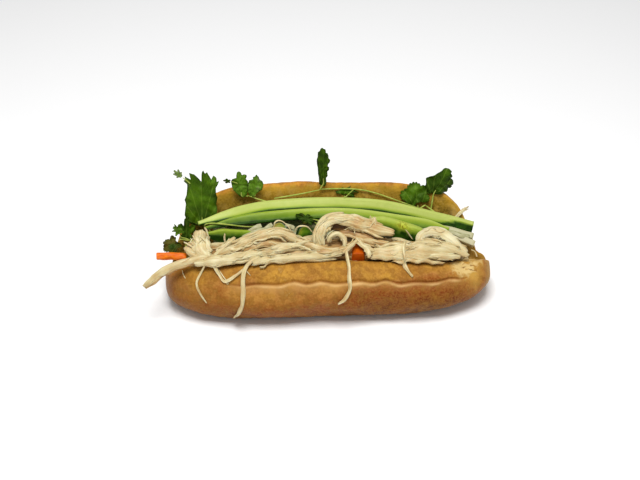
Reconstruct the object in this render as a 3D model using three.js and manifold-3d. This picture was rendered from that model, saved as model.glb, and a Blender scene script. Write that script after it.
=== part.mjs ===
// An opened banh mi: a split crusty roll filled with shredded chicken, long slices of cucumber, pickled
// daikon, carrot sticks, green pepper slices and sprigs of cilantro. Sizes are in millimetres. +X runs along
// the roll, -Y is the front, where the chicken spills over the crust, and +Z is up. The origin is the middle
// of the flat underside, between the two halves of the roll.

import * as THREE from "three";
import { mergeVertices } from "three/addons/utils/BufferGeometryUtils.js";
import Module from "manifold-3d";

const wasm = await Module();
wasm.setup();

// ---------------------------------------------------------------- driving dimensions

const ROLL_LENGTH = 226;
const HALF_LENGTH = ROLL_LENGTH / 2;
const HINGE_Y = 2; // the line on the underside about which both halves taper
const END_LIFT = { left: 7, right: 10 }; // how far the rounded ends of the roll rise off the table
const FLAT_SHARE = 0.45; // the share of the half length whose underside is flat
const FRONT_DROOP = 0.13; // how much lower the front half stands at its right end, where it opens wider
const REAR_DROOP = 0.05;
const CLEARANCE = 0.35; // free space between two pieces that touch

// The walls of the roll at mid-length are arcs of an ellipse: its centre, its radii and, in degrees above
// the horizontal, the angles at which the arc starts and ends.
const FRONT_WALL = { y: -16, z: 21, ry: 28.5, rz: 24.5, from: 66, to: -58, points: 7 };
const REAR_WALL = { y: 25, z: 31.5, ry: 30.5, rz: 34, from: -60, to: 66, points: 8 };
const FRONT_LIP = new THREE.Vector2(-22, 40.5); // inner edges of the two lips
const REAR_LIP = new THREE.Vector2(32.5, 57);
const TROUGH_FLOOR = new THREE.Vector2(2, 15.5);
const TROUGH_SAG = 2.5; // how far the crumb faces curve in below a straight slope

const BLUNTNESS = 3.4; // a higher number makes blunter ends
// The rear half is shorter. Near these shares of the half length it falls away to a low torn rest.
const REAR_REACH = { left: 0.97, right: 0.94 };
const REAR_REST = 0.3;
const REAR_FALL = 13; // a higher number makes it fall away more steeply

// The seam that bursts open along the front crust as the roll bakes.
const SEAM = { from: -62, to: 96, depth: 1, ledge: 1.4, wave: 0.08, wavelength: 21 };
const SEAM_AT = 1.42; // where it lies, counted in outline points from the front lip

// ---------------------------------------------------------------- small helpers

const { lerp, clamp, smoothstep, degToRad } = THREE.MathUtils;
const vec = (x, y, z) => new THREE.Vector3(x, y, z);
const FILLING_TOP = vec(0, -0.6, 0.8); // the way the top of the filling faces

// The i-th number of a sequence that fills 0 to 1 evenly.
const spread = (i, step) => (i * step) % 1;

// A solid from a closed three.js geometry.
function solidOf(geometry) {
  const bare = geometry.clone();
  bare.deleteAttribute("normal");
  bare.deleteAttribute("uv");
  const merged = mergeVertices(bare, 1e-4);
  const index = merged.index.array;
  const triangles = [];
  for (let i = 0; i < index.length; i += 3) {
    const [a, b, c] = [index[i], index[i + 1], index[i + 2]];
    if (a !== b && b !== c && c !== a) triangles.push(a, b, c);
  }
  const make = (list) =>
    new wasm.Manifold(
      new wasm.Mesh({
        numProp: 3,
        vertProperties: new Float32Array(merged.attributes.position.array),
        triVerts: new Uint32Array(list),
      }),
    );
  const solid = make(triangles);
  return solid.volume() > 0 ? solid : make(triangles.reverse());
}

// The skin of a unit cylinder with every point moved to pointAt(u, v): u runs round it and v along it.
// Both end rings have to close on a point.
function skin(around, along, pointAt) {
  const geometry = new THREE.CylinderGeometry(1, 1, 1, around, along, true);
  const { position, uv } = geometry.attributes;
  for (let i = 0; i < position.count; i++) {
    const u = uv.getX(i) % 1; // the last column of the cylinder is the first one again
    const v = Math.round((1 - uv.getY(i)) * along) / along;
    position.setXYZ(i, ...pointAt(u, v).toArray());
  }
  return solidOf(geometry);
}

// A bar swept along a smooth curve through the points. section(u, t) gives a point of its outline as
// [across, out] where out is the way it faces, and t runs from 0 to 1 along the bar. Its ends are flat.
function sweep({ points, section, sides, steps, facing = FILLING_TOP }) {
  const curve = new THREE.CatmullRomCurve3(points, false, "catmullrom", 0.5);
  const rings = steps + 2; // one more at each end closes it
  return skin(sides, rings, (u, v) => {
    const ring = Math.round(v * rings);
    const t = clamp((ring - 1) / steps, 0, 1);
    const centre = curve.getPoint(t);
    if (ring === 0 || ring === rings) return centre;
    const along = curve.getTangent(t);
    const side = along.clone().cross(facing).normalize();
    const out = side.clone().cross(along);
    const [a, c] = section(u, t);
    return centre.addScaledVector(side, a).addScaledVector(out, c);
  });
}

// An oval outline that shrinks to a blunt tip at both ends of a bar.
function strandSection(width, thickness, grow) {
  return (u, t) => {
    const tip = Math.pow(Math.sin(Math.PI * clamp(t, 0.03, 0.97)), 0.45);
    const angle = 2 * Math.PI * u;
    return [
      (width / 2) * tip * Math.cos(angle) + grow * Math.cos(angle),
      (thickness / 2) * tip * Math.sin(angle) + grow * Math.sin(angle),
    ];
  };
}

const union = (solids) => wasm.Manifold.union(solids);

// The largest body of a solid once every neighbour has been cut out of it.
function clearOf(solid, neighbours) {
  const cut = solid.subtract(union(neighbours));
  return cut.decompose().sort((a, b) => b.volume() - a.volume())[0];
}

function mesh(name, solid, colour, roughness) {
  const { vertProperties, triVerts } = solid.getMesh();
  const geometry = new THREE.BufferGeometry();
  geometry.setAttribute("position", new THREE.BufferAttribute(vertProperties, 3));
  geometry.setIndex(new THREE.BufferAttribute(triVerts, 1));
  geometry.computeVertexNormals();
  const material = new THREE.MeshStandardMaterial({ color: colour, roughness, metalness: 0 });
  const made = new THREE.Mesh(geometry, material);
  made.name = name;
  return made;
}

// ---------------------------------------------------------------- the roll

// How full the roll is at a share s of its half length, from 1 in the middle to 0 at the tip.
const fullness = (s) => Math.max(0, 1 - Math.abs(s) ** BLUNTNESS) ** (1 / BLUNTNESS);

// How much of that is left of the rear half.
function rearShare(s) {
  const reach = s < 0 ? REAR_REACH.left : REAR_REACH.right;
  return 1 - (1 - REAR_REST) * Math.min(1, Math.abs(s) / reach) ** REAR_FALL;
}

// Moves a point of the mid-length section to its place at x, where the roll is slimmer and rounder below.
function taper(x, y, z) {
  const s = clamp(x / HALF_LENGTH, -1, 1);
  const rearward = smoothstep(y, -15, 20);
  const k = fullness(s) * lerp(1, rearShare(s), rearward);
  const droop = 1 - lerp(FRONT_DROOP, REAR_DROOP, rearward) * smoothstep(s, -0.1, 0.9);
  const rise = s < 0 ? END_LIFT.left : END_LIFT.right;
  const lift = rise * Math.max(0, (Math.abs(s) - FLAT_SHARE) / (1 - FLAT_SHARE)) ** 2.2;
  return vec(x, HINGE_Y + (y - HINGE_Y) * k, z * k * droop + lift);
}

// Points along a wall's arc. side is -1 for the front wall and 1 for the rear one.
function wallArc(wall, side) {
  return Array.from({ length: wall.points }, (_, i) => {
    const angle = degToRad(lerp(wall.from, wall.to, i / (wall.points - 1)));
    return vec(0, wall.y + side * wall.ry * Math.cos(angle), wall.z + wall.rz * Math.sin(angle));
  });
}

// Points down or up a crumb face, between a lip and the floor of the trough, both left out.
function crumbFace(from, to, shares) {
  return shares.map((share) => {
    const sag = TROUGH_SAG * Math.sin(Math.PI * share);
    return vec(0, lerp(from.x, to.x, share), lerp(from.y, to.y, share) - sag);
  });
}

// The section of the opened roll at mid-length: from the front lip round the outside, then back through
// the trough.
const OUTLINE = new THREE.CatmullRomCurve3(
  [
    ...wallArc(FRONT_WALL, -1),
    vec(0, -14, 0),
    vec(0, 4, 0),
    vec(0, 22, 0),
    ...wallArc(REAR_WALL, 1),
    vec(0, REAR_LIP.x, REAR_LIP.y),
    ...crumbFace(REAR_LIP, TROUGH_FLOOR, [0.33, 0.7]),
    vec(0, TROUGH_FLOOR.x, TROUGH_FLOOR.y),
    ...crumbFace(TROUGH_FLOOR, FRONT_LIP, [0.35, 0.7]),
    vec(0, FRONT_LIP.x, FRONT_LIP.y),
  ],
  true,
  "catmullrom",
  0.5,
);
const OUTLINE_POINTS = OUTLINE.points.length;

// Where the rows of the roll's mesh lie along the outline: one at each of its points, and more by the seam,
// in place of the one at point 2.
const SEAM_ROWS = [0.5, SEAM_AT - 0.3, SEAM_AT - 0.09, SEAM_AT + 0.05, 1.85, 2.4];
const ROWS = [...Array(OUTLINE_POINTS).keys(), ...SEAM_ROWS]
  .filter((row) => row !== 2)
  .sort((a, b) => a - b);

// How strongly the seam shows at x: it fades out towards both ends.
function seamStrength(x) {
  return smoothstep(x, SEAM.from - 12, SEAM.from + 8) * (1 - smoothstep(x, SEAM.to - 14, SEAM.to));
}

// How far a row of the mesh near the seam wanders up and down the crust with it at x, in outline points.
function seamWander(row, x) {
  const wave = Math.sin((2 * Math.PI * x) / SEAM.wavelength) + 0.5 * Math.sin(x / 8 + 1);
  return SEAM.wave * wave * seamStrength(x) * Math.exp(-(((row - SEAM_AT) / 0.6) ** 2));
}

// How far the crust stands out at a row: a groove above the seam and a swollen ledge below it.
function seamRelief(row, x) {
  const below = row - SEAM_AT;
  const groove = -SEAM.depth * Math.exp(-(((below + 0.08) / 0.12) ** 2));
  const ledge = below > 0 ? SEAM.ledge * Math.exp(-below / 0.7) : 0;
  return seamStrength(x) * (groove + ledge);
}

// Slow swells that keep the crust from being a perfect sweep. The underside stays flat.
function crustSwell(row, x) {
  const onFront = smoothstep(row, 0, 2) * (1 - smoothstep(row, 4.5, 6));
  const onRear = smoothstep(row, 11, 13) * (1 - smoothstep(row, 16, 18));
  return (onFront + onRear) * (0.7 * Math.sin(x / 21 + row) + 0.45 * Math.sin(x / 9.5 - 1.7 * row));
}

// A point of the roll's surface, moved out of the crust by lift.
function rollPoint(x, row, lift = 0) {
  const t = ((row + seamWander(row, x)) / OUTLINE_POINTS) % 1;
  const at = OUTLINE.getPoint(t);
  const along = OUTLINE.getTangent(t);
  const out = lift + seamRelief(row, x) + crustSwell(row, x);
  const y = at.y + out * along.z;
  const z = at.z - out * along.y;
  return taper(x, y, lift > 0 ? z : Math.max(z, 0));
}

function roll(grow = 0) {
  const stations = 42;
  const crowding = 0.06; // crowds the stations together near the rounded ends
  return skin(ROWS.length, stations, (u, v) => {
    const q = 2 * v - 1;
    const x = (HALF_LENGTH * (1 + crowding) * q) / (1 + crowding * Math.abs(q) ** 12);
    const row = ROWS[Math.round(u * ROWS.length) % ROWS.length];
    return rollPoint(x, row, grow).setX(x * (1 + grow / HALF_LENGTH));
  });
}

// ---------------------------------------------------------------- cucumber

// A slice cut lengthwise: a bar with a rounded oblong section. It narrows towards its tips to the given
// shares of its width, and turns about its own line between the two given angles.
function cucumber({ points, width, thickness, turn, tips }, grow = 0) {
  const section = (u, t) => {
    const left = lerp(tips[0], 1, smoothstep(t, 0, 0.25));
    const right = lerp(tips[1], 1, 1 - smoothstep(t, 0.8, 1));
    const slim = Math.min(left, right);
    const corner = 2 * Math.PI * u;
    const flat = (value) => Math.sign(value) * Math.abs(value) ** 0.45; // squares the oval up
    const a = ((width * slim) / 2 + grow) * flat(Math.cos(corner));
    const c = ((thickness * Math.sqrt(slim)) / 2 + grow) * flat(Math.sin(corner));
    const angle = degToRad(lerp(turn[0], turn[1], t));
    return [a * Math.cos(angle) - c * Math.sin(angle), a * Math.sin(angle) + c * Math.cos(angle)];
  };
  return sweep({ points, section, sides: 8, steps: 11 });
}

const CUCUMBERS = {
  cucumber_top: {
    points: [
      vec(-88, 6.5, 53.4),
      vec(-70, 12, 55),
      vec(-40, 22, 54.6),
      vec(0, 26, 52.5),
      vec(40, 25, 48.8),
      vec(80, 19, 41),
      vec(102.8, 14, 36.8),
    ],
    width: 9.2,
    thickness: 4.2,
    turn: [8, -14],
    tips: [0.35, 0.9],
  },
  cucumber_middle: {
    points: [
      vec(-83, 3, 52),
      vec(-60, 10, 52.6),
      vec(-20, 15.6, 51.8),
      vec(15, 16.2, 50.4),
      vec(50, 13.4, 45.6),
      vec(70, 11.8, 42),
      vec(85, 9.5, 38.6),
    ],
    width: 8,
    thickness: 4.4,
    turn: [-8, -4],
    tips: [0.3, 0.5],
  },
  cucumber_lower: {
    points: [vec(-84, 0, 49), vec(-66, 1, 46), vec(-46, 3, 42.5), vec(-24, 6, 38)],
    width: 9.5,
    thickness: 5,
    turn: [-35, -25],
    tips: [0.4, 0.9],
  },
  cucumber_right: {
    points: [vec(28, 5, 50), vec(40, 3.5, 48.5), vec(54, 0.5, 45), vec(72, -2, 38.5)],
    width: 12,
    thickness: 7.5,
    turn: [-38, -34],
    tips: [0.8, 0.6],
  },
};

// ---------------------------------------------------------------- carrot, daikon and pepper

// A pickled stick: a bar with a rounded square section.
function stick(points, width, grow = 0) {
  const section = (u) => {
    const corner = 2 * Math.PI * u + Math.PI / 4;
    const reach = (width * Math.SQRT1_2 + grow) * 1.02;
    return [reach * Math.cos(corner), reach * Math.sin(corner)];
  };
  return sweep({ points, section, sides: 4, steps: 4 });
}

const CARROTS = {
  carrot_left: { points: [vec(-115.7, -15.5, 44), vec(-106, -15, 43.5), vec(-96, -14.5, 42)], width: 4.4 },
  carrot_middle: { points: [vec(20, -8, 40.8), vec(19.5, -14, 41.2), vec(19, -20.5, 41)], width: 8.6 },
};

const DAIKON_WIDTH = 4.4;
const DAIKON_STICKS = [
  [vec(-56, 4, 41), vec(-45, 5.5, 45), vec(-34, 7, 42)],
  [vec(66, 12, 35.5), vec(86, 7, 36), vec(102, 0, 32.5)],
  [vec(62, 16, 37), vec(84, 12, 37), vec(102, 6, 34.5)],
];

// A thick slice of green pepper: a short rounded drum. tilt is the way its cut face looks.
const PEPPERS = {
  pepper_left: { at: vec(-33, 2, 49), radius: 5.4, depth: 3.4, tilt: vec(-0.2, -0.55, 0.8) },
  pepper_middle: { at: vec(-16, 1, 45.5), radius: 6, depth: 4, tilt: vec(0.35, -0.75, 0.55) },
};

function pepper({ at, radius, depth, tilt }, grow = 0) {
  const axis = tilt.clone().normalize();
  const across = vec(1, 0, 0).cross(axis).normalize();
  const side = across.clone().cross(axis);
  const profile = [[0, -1], [0.86, -1], [1, -0.5], [1, 0.5], [0.86, 1], [0, 1]];
  return skin(12, profile.length - 1, (u, v) => {
    const [r, h] = profile[Math.round(v * (profile.length - 1))];
    const angle = 2 * Math.PI * u;
    return at
      .clone()
      .addScaledVector(axis, h * (depth / 2 + grow))
      .addScaledVector(across, r * (radius + grow) * Math.cos(angle))
      .addScaledVector(side, r * (radius + grow) * Math.sin(angle));
  });
}

// ---------------------------------------------------------------- the beds that fill the trough

// A bed runs the length of the trough. Its section at mid-length, as [y, z], goes from the crumb at one
// side, over the top and back down the trough; bumps make its top uneven.
function bed({ section, from, to, bump }, grow = 0) {
  const stations = 16;
  const corners = section.map(([y, z]) => new THREE.Vector2(y, z));
  const middle = corners.reduce((sum, p) => sum.add(p), new THREE.Vector2()).divideScalar(corners.length);
  return skin(corners.length, stations + 2, (u, v) => {
    const ring = Math.round(v * (stations + 2));
    const x = lerp(from - grow, to + grow, clamp((ring - 1) / stations, 0, 1));
    if (ring === 0 || ring === stations + 2) return taper(x, middle.x, middle.y);
    const corner = corners[Math.round(u * corners.length) % corners.length];
    const arm = corner.clone().sub(middle);
    const place = middle.clone().addScaledVector(arm, 1 + grow / arm.length());
    const rough = corner.y < middle.y ? 0 : bump * Math.sin(x / 6.1 + corner.x) * Math.sin(x / 15 + 2);
    return taper(x, place.x, place.y + rough);
  });
}

const CHICKEN_BED = {
  section: [
    [-19, 37.5],
    [-20.5, 42],
    [-15, 46],
    [-8, 47],
    [-1, 44],
    [4, 39],
    [5, 30],
    [4, 19.5],
    [-3, 19.5],
    [-12, 29.5],
  ],
  from: -93,
  to: 93,
  bump: 1,
};

const DAIKON_BED = {
  section: [
    [7, 35],
    [13, 41],
    [20, 45.5],
    [26, 47],
    [27.5, 45],
    [21, 34.5],
    [12.5, 23.5],
    [6.5, 21],
  ],
  from: -80,
  to: 95,
  bump: 0.6,
};

const daikon = (grow = 0) =>
  union([bed(DAIKON_BED, grow), ...DAIKON_STICKS.map((points) => stick(points, DAIKON_WIDTH, grow))]);

// The height of the chicken bed's top at x and y.
function chickenTop(x, y) {
  const k = fullness(x / HALF_LENGTH);
  const inside = HINGE_Y + (y - HINGE_Y) / k;
  return taper(x, inside, 46.8 - 5 * ((inside + 10) / 12) ** 2).z;
}

// ---------------------------------------------------------------- chicken

// A shred of the heap: its width, its thickness and the points it passes through.
const shred = (width, thickness, ...points) => ({ width, thickness, points: points.map((p) => vec(...p)) });

const SHREDS = [
  // the long tail past the left end, and the bunch where it leaves the heap
  shred(5.4, 4.4, [-124, -31, 31], [-115, -29, 38], [-105, -26.5, 43.5], [-89, -23, 46], [-76, -22, 46]),
  shred(11.5, 6, [-86, -4, 56], [-86, -9, 51.5], [-84.5, -15, 47.5], [-81, -22, 45.5]),
  shred(5.4, 4, [-93, -10, 51.6], [-90.5, -13.5, 49], [-84, -21, 46]),
  shred(4, 3.4, [-96.5, -14, 50.2], [-92, -18, 47.8], [-84, -23, 46]),
  shred(3.4, 3.2, [-63, -7, 51.5], [-69, -12, 49], [-78, -21, 46.5]),
  // the bands along the front lip
  shred(7, 5, [-90, -25.5, 45], [-78, -25.5, 46], [-64, -24.5, 46.8], [-51, -21, 46.5], [-40, -17, 45.5]),
  shred(6, 4.6, [-54, -21, 47], [-42, -18, 46.5], [-30, -15, 46.5], [-18, -15, 46]),
  shred(5.4, 4.4, [-52, -28, 45.8], [-42, -26.5, 47], [-30, -25.5, 47.5], [-12, -24.5, 47], [8, -22, 46]),
  shred(4.4, 4, [-17, -21, 47.5], [-4, -22.5, 47.5], [6, -21.5, 47.8], [13, -17.5, 48.5]),
  // the arch left of the middle
  shred(6.6, 4.6, [-76, -19, 46], [-63, -16, 50], [-53, -12, 53], [-42, -9, 54.8], [-31, -8.5, 54.6],
    [-22, -10.5, 50], [-11, -14, 46.5]),
  shred(6, 4.4, [-66, -19, 46], [-53, -15.5, 49], [-43, -12.5, 50], [-33, -12, 48], [-22, -14, 46]),
  shred(5.6, 4.4, [-24, -10, 51], [-14, -13.5, 48.5], [-3, -17, 46.5], [8, -18.5, 46]),
  // the curl in the middle, with a smaller one inside it
  shred(8, 6, [-5, -15, 48], [-6.5, -10.5, 53], [-3.5, -6, 58], [3, -3, 60.5], [13, -2, 60]),
  shred(9, 5, [6, -2.5, 60], [18, -3.5, 57.5], [29, -5.5, 54.5], [44, -9, 51.8]),
  shred(3.6, 3.2, [-1, -14, 50], [1, -11.5, 53], [6, -10, 54], [10, -13, 51.5], [10, -18, 49]),
  shred(3.4, 2.6, [31.5, 1, 58.5], [31, -3, 56.5], [29, -6, 54.5]),
  // the bits that cross beside the carrot
  shred(3.4, 2.8, [8, -23, 48], [14, -18.5, 50.5], [20, -12.5, 51]),
  shred(3.6, 3, [18, -12.5, 51.5], [22.5, -17.5, 49], [30, -21, 46.8]),
  shred(3.4, 2.6, [23, -17, 49.5], [25.5, -22, 47], [26, -25.5, 44.8]),
  // the broad slab and the arches at the right
  shred(12, 5.4, [27, -21.5, 45], [38, -22, 46], [52, -22, 45.6], [66, -22, 44.6], [84, -21, 41.5]),
  shred(8, 5, [60, -13, 46.5], [64, -8, 49], [71, -6, 49.8], [79, -8, 48], [86, -13, 44], [93, -18, 40]),
  shred(6.6, 4.6, [54, -17.5, 47.3], [65, -15, 47.3], [76, -16, 45.5], [86, -18.5, 42.5], [94, -20, 39.5]),
  shred(4.6, 3.6, [66, -24, 43.6], [77, -24, 43], [88, -22.5, 40.6]),
  shred(5, 4, [20, -12, 49], [30, -14, 48.5], [42, -17, 47.5]),
];

// Shreds that hang over the front crust. Each leaves the heap through its heap points, then follows steps
// down the crust, given as x and a place counted in outline points from the front lip.
const HANGING = [
  {
    heap: [vec(-46, -23, 46.5), vec(-53, -27, 46.2)],
    crust: [[-57.5, 0.5], [-58.5, 1.4], [-59, 2.6], [-62, 3.6], [-65.5, 4.4]],
    width: 3.6,
    thickness: 2.2,
  },
  {
    heap: [vec(-80, -22, 45.5), vec(-82.5, -26, 45)],
    crust: [[-86, 0.5], [-89, 1.3], [-87, 2.1], [-83, 3]],
    width: 1.8,
    thickness: 1.6,
  },
  {
    heap: [vec(-79, -22, 45.5), vec(-77.5, -26, 45.2)],
    crust: [[-74, 0.6], [-70, 1.1], [-63, 0.7], [-57, 0.25]],
    width: 2.4,
    thickness: 1.8,
  },
  {
    heap: [vec(10, -17, 49.5), vec(11, -23, 47.8)],
    crust: [[12, 0.35], [12, 1.1], [12, 1.8], [9, 2.5], [4, 2.95]],
    width: 2.7,
    thickness: 2,
  },
  {
    heap: [vec(51, -18, 48), vec(49, -24, 47)],
    crust: [[49.5, 0.1], [51, 0.5], [54.5, 0.95]],
    width: 3,
    thickness: 2.2,
  },
];

// A stray shred, apart from the heap, that leans over the rear lip at the right end.
const STRAY = shred(2, 1.6, [89, 17.5, 33.5], [91.5, 19.5, 41], [96, 22.4, 44.6], [102, 30, 43]);

// Points of a hanging shred: its start in the heap, then its steps down the crust.
const hangingPoints = ({ heap, crust, thickness }) => [
  ...heap,
  ...crust.map(([x, row]) => rollPoint(x, row, thickness / 2 + CLEARANCE + 0.6)),
];

// A short shred laid over the heap, the i-th of an even spread.
function looseShred(i, grow) {
  const x = lerp(-86, 84, spread(i + 0.5, 0.618034));
  const y = lerp(-19, -5, spread(i + 0.5, 0.754878));
  const turn = lerp(-0.6, 0.6, spread(i + 0.5, 0.569840));
  const half = lerp(8, 15, spread(i + 0.5, 0.324718));
  const points = [-1, 0, 1].map((side) => {
    const px = x + side * half * Math.cos(turn);
    const py = clamp(y + side * half * Math.sin(turn), -22, -2);
    return vec(px, py, chickenTop(px, py) + 1.6 - 1.6 * Math.abs(side));
  });
  return sweep({ points, section: strandSection(4.4, 3.6, grow), sides: 5, steps: 3 });
}

const LOOSE_SHREDS = 6;

function chicken(grow = 0) {
  const large = SHREDS.map(({ points, width, thickness }) =>
    sweep({ points, section: strandSection(width, thickness, grow), sides: width > 7 ? 6 : 5, steps: 6 }),
  );
  const hanging = HANGING.map((shred) =>
    sweep({
      points: hangingPoints(shred),
      section: strandSection(shred.width, shred.thickness, grow),
      sides: 5,
      steps: 9,
      facing: vec(0, -0.8, 0.6),
    }),
  );
  const loose = Array.from({ length: LOOSE_SHREDS }, (_, i) => looseShred(i, grow));
  return union([bed(CHICKEN_BED, grow), ...large, ...hanging, ...loose]);
}

function strayShred(grow = 0) {
  const { points, width, thickness } = STRAY;
  return sweep({ points, section: strandSection(width, thickness, grow), sides: 5, steps: 6 });
}

// ---------------------------------------------------------------- cilantro

const LEAF_THICKNESS = 1;
const STEM_WIDTH = 1.5;
const TOWARDS_FRONT = vec(0, -0.9, 0.4);

const stem = (points, grow = 0, sides = 5, steps = 5) => {
  const section = strandSection(STEM_WIDTH, STEM_WIDTH, grow);
  return sweep({ points, section, sides, steps, facing: TOWARDS_FRONT });
};

// A leaf: a flattened ball whose rim follows a lobed and toothed outline, on a stalk that runs from foot
// into it. Angles on the outline are in degrees from the tip, and positive to the right of the midrib.
// notches are the gaps between its lobes, and its edge is toothed between the two angles of teeth. A lower
// square makes it boxier.
function leaf(blade, grow = 0) {
  const { foot, centre, up, facing = TOWARDS_FRONT, width, length, square = 1 } = blade;
  const { notches = [-52, 52], teeth = [-140, 140], toothCount = 10, sides = 20, curl = 0.2 } = blade;
  const along = up.clone().normalize();
  const side = along.clone().cross(facing).normalize();
  const out = side.clone().cross(along);
  const sign = (value) => Math.sign(value) * Math.abs(value) ** square;
  const pointAt = (angle, rim, height) => {
    const gap = notches.reduce((sum, at) => sum + 0.34 * Math.exp(-(((angle - at) / 11) ** 2)), 0);
    const toothed = angle > teeth[0] && angle < teeth[1];
    const bite = toothed ? 0.11 * (1 + Math.cos(degToRad(angle * toothCount))) : 0;
    const reach = (1 - gap) * (1 - bite) * rim;
    const across = reach * (width / 2 + grow) * sign(Math.sin(degToRad(angle)));
    const forward = reach * (length / 2 + grow) * sign(Math.cos(degToRad(angle)));
    const ripple = 0.05 * width * reach * Math.sin(degToRad(3 * angle));
    const bend = curl * (ripple - (across ** 2 + 0.4 * forward ** 2) / Math.max(width, length));
    return centre
      .clone()
      .addScaledVector(along, forward)
      .addScaledVector(side, across)
      .addScaledVector(out, bend + height);
  };
  const flat = skin(sides, 4, (u, v) =>
    pointAt(360 * u - 180, Math.sin(Math.PI * v), Math.cos(Math.PI * v) * (LEAF_THICKNESS / 2 + grow)),
  );
  return union([flat, stem([foot, pointAt(180, 0.9, 0), centre], grow, 4, 3)]);
}

const SPRIGS = {
  cilantro_left: {
    stems: [[vec(-80, 8, 45), vec(-83, 10, 47.5), vec(-86, 12, 49.5)]],
    leaves: [
      {
        foot: vec(-84, 11, 48),
        centre: vec(-85.1, 16, 67.5),
        up: vec(0.03, 0.3, 0.95),
        width: 24,
        length: 40,
        square: 0.7,
        notches: [],
        teeth: [-66, 66],
        toothCount: 20,
        sides: 40,
        curl: 0.3,
      },
      {
        foot: vec(-92, 18, 79),
        centre: vec(-98.7, 19, 85.6),
        up: vec(-0.6, 0.2, 0.5),
        width: 8,
        length: 10,
        notches: [-35, 35],
        teeth: [-90, 90],
      },
    ],
  },
  cilantro_far_left: {
    stems: [[vec(-84, 6, 40), vec(-90, 6, 39), vec(-96, 7, 39)]],
    leaves: [
      {
        foot: vec(-92, 6.5, 38.5),
        centre: vec(-97, 9, 44),
        up: vec(0.1, 0.3, 0.9),
        width: 14,
        length: 24,
        notches: [],
        curl: 0.3,
      },
      {
        foot: vec(-94, 6.5, 39),
        centre: vec(-102.2, 7, 47.2),
        up: vec(-0.35, 0.2, 0.9),
        facing: vec(-0.3, -0.8, 0.5),
        width: 9,
        length: 12,
      },
      {
        foot: vec(-95, 6.5, 39),
        centre: vec(-106.5, 2.5, 39.8),
        up: vec(-0.8, -0.25, -0.3),
        facing: vec(-0.3, -0.6, 0.7),
        width: 14,
        length: 16,
      },
    ],
  },
  cilantro_rear_left: {
    stems: [[vec(-36, 26, 54), vec(-45, 27, 56.5), vec(-54, 28, 60)]],
    leaves: [
      {
        foot: vec(-54, 28, 59.5),
        centre: vec(-59.2, 29.6, 68.2),
        up: vec(-0.1, 0.3, 0.95),
        width: 11.5,
        length: 19,
        square: 0.85,
        notches: [-50, 35],
      },
      {
        foot: vec(-52, 28, 59),
        centre: vec(-48.6, 29.6, 66.7),
        up: vec(0.1, 0.3, 0.95),
        width: 10.8,
        length: 16.5,
        square: 0.85,
        notches: [-35, 45],
      },
      {
        foot: vec(-60, 30, 69),
        centre: vec(-67.3, 30, 71.4),
        up: vec(-1, 0, 0.2),
        width: 4,
        length: 7,
        notches: [],
        teeth: [-90, 90],
      },
    ],
  },
  cilantro_upright: {
    stems: [[vec(-36, 26.5, 58), vec(-18, 28.5, 59.6), vec(-3, 30.5, 61.5)]],
    leaves: [
      {
        foot: vec(-4, 30.3, 61.4),
        centre: vec(-1.5, 32.5, 78.5),
        up: vec(0, 0.1, 1),
        width: 9.5,
        length: 30,
        square: 0.8,
        notches: [40, 100],
        teeth: [0, 150],
        curl: 0.1,
      },
    ],
  },
  cilantro_middle: {
    stems: [[vec(2, 32.5, 60), vec(20, 32.5, 59.5), vec(34, 31, 57), vec(54, 26.5, 51), vec(71, 22, 46)]],
    leaves: [
      {
        foot: vec(20, 32.5, 59.5),
        centre: vec(14, 32.5, 58),
        up: vec(0.2, 0.8, 0.5),
        facing: vec(0, -0.6, 0.8),
        width: 23,
        length: 12.5,
      },
    ],
  },
  cilantro_right: {
    stems: [[vec(78, 22, 43.5), vec(74, 24, 46), vec(70, 26, 48.5)]],
    leaves: [
      {
        foot: vec(70, 26, 48.5),
        centre: vec(64, 28.3, 54.5),
        up: vec(-0.1, 0.57, 0.82),
        width: 24,
        length: 22,
        square: 0.85,
        notches: [-75, 30],
        curl: 0.25,
      },
      {
        foot: vec(74, 24, 46),
        centre: vec(80.3, 30.9, 64),
        up: vec(0.45, 0.2, 0.85),
        facing: vec(0.2, -0.9, 0.4),
        width: 20.5,
        length: 23,
        square: 0.85,
        notches: [-35, 42],
        curl: 0.3,
      },
    ],
  },
  cilantro_inner: {
    stems: [[vec(4, 9, 47), vec(-4, 8, 51), vec(-10, 8, 53)]],
    leaves: [
      {
        foot: vec(-6, 8, 52),
        centre: vec(-13.5, 8, 53),
        up: vec(-0.85, 0.4, 0.2),
        facing: vec(0, -0.5, 0.85),
        width: 9,
        length: 19,
        curl: 0.3,
      },
    ],
  },
};

const sprig = ({ stems, leaves }, grow = 0) =>
  union([...stems.map((points) => stem(points, grow)), ...leaves.map((blade) => leaf(blade, grow))]);

// ---------------------------------------------------------------- putting the sandwich together

const COLOURS = {
  crust: 0xbf8637,
  chicken: 0xe2cfa0,
  cucumber: 0xc6dc86,
  daikon: 0xd9d6c4,
  carrot: 0xee6d1c,
  pepper: 0x3f6416,
  cilantro: 0x3f6a1c,
};

const sandwich = new THREE.Group();
const placed = []; // the grown outline of every piece so far, which the next pieces keep clear of

// Adds a piece, cut clear of all that is placed already. build(grow) makes it, grown all over by grow.
function place(name, build, colour, roughness) {
  const solid = placed.length ? clearOf(build(0), placed) : build(0);
  placed.push(build(CLEARANCE));
  sandwich.add(mesh(name, solid, colour, roughness));
}

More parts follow.
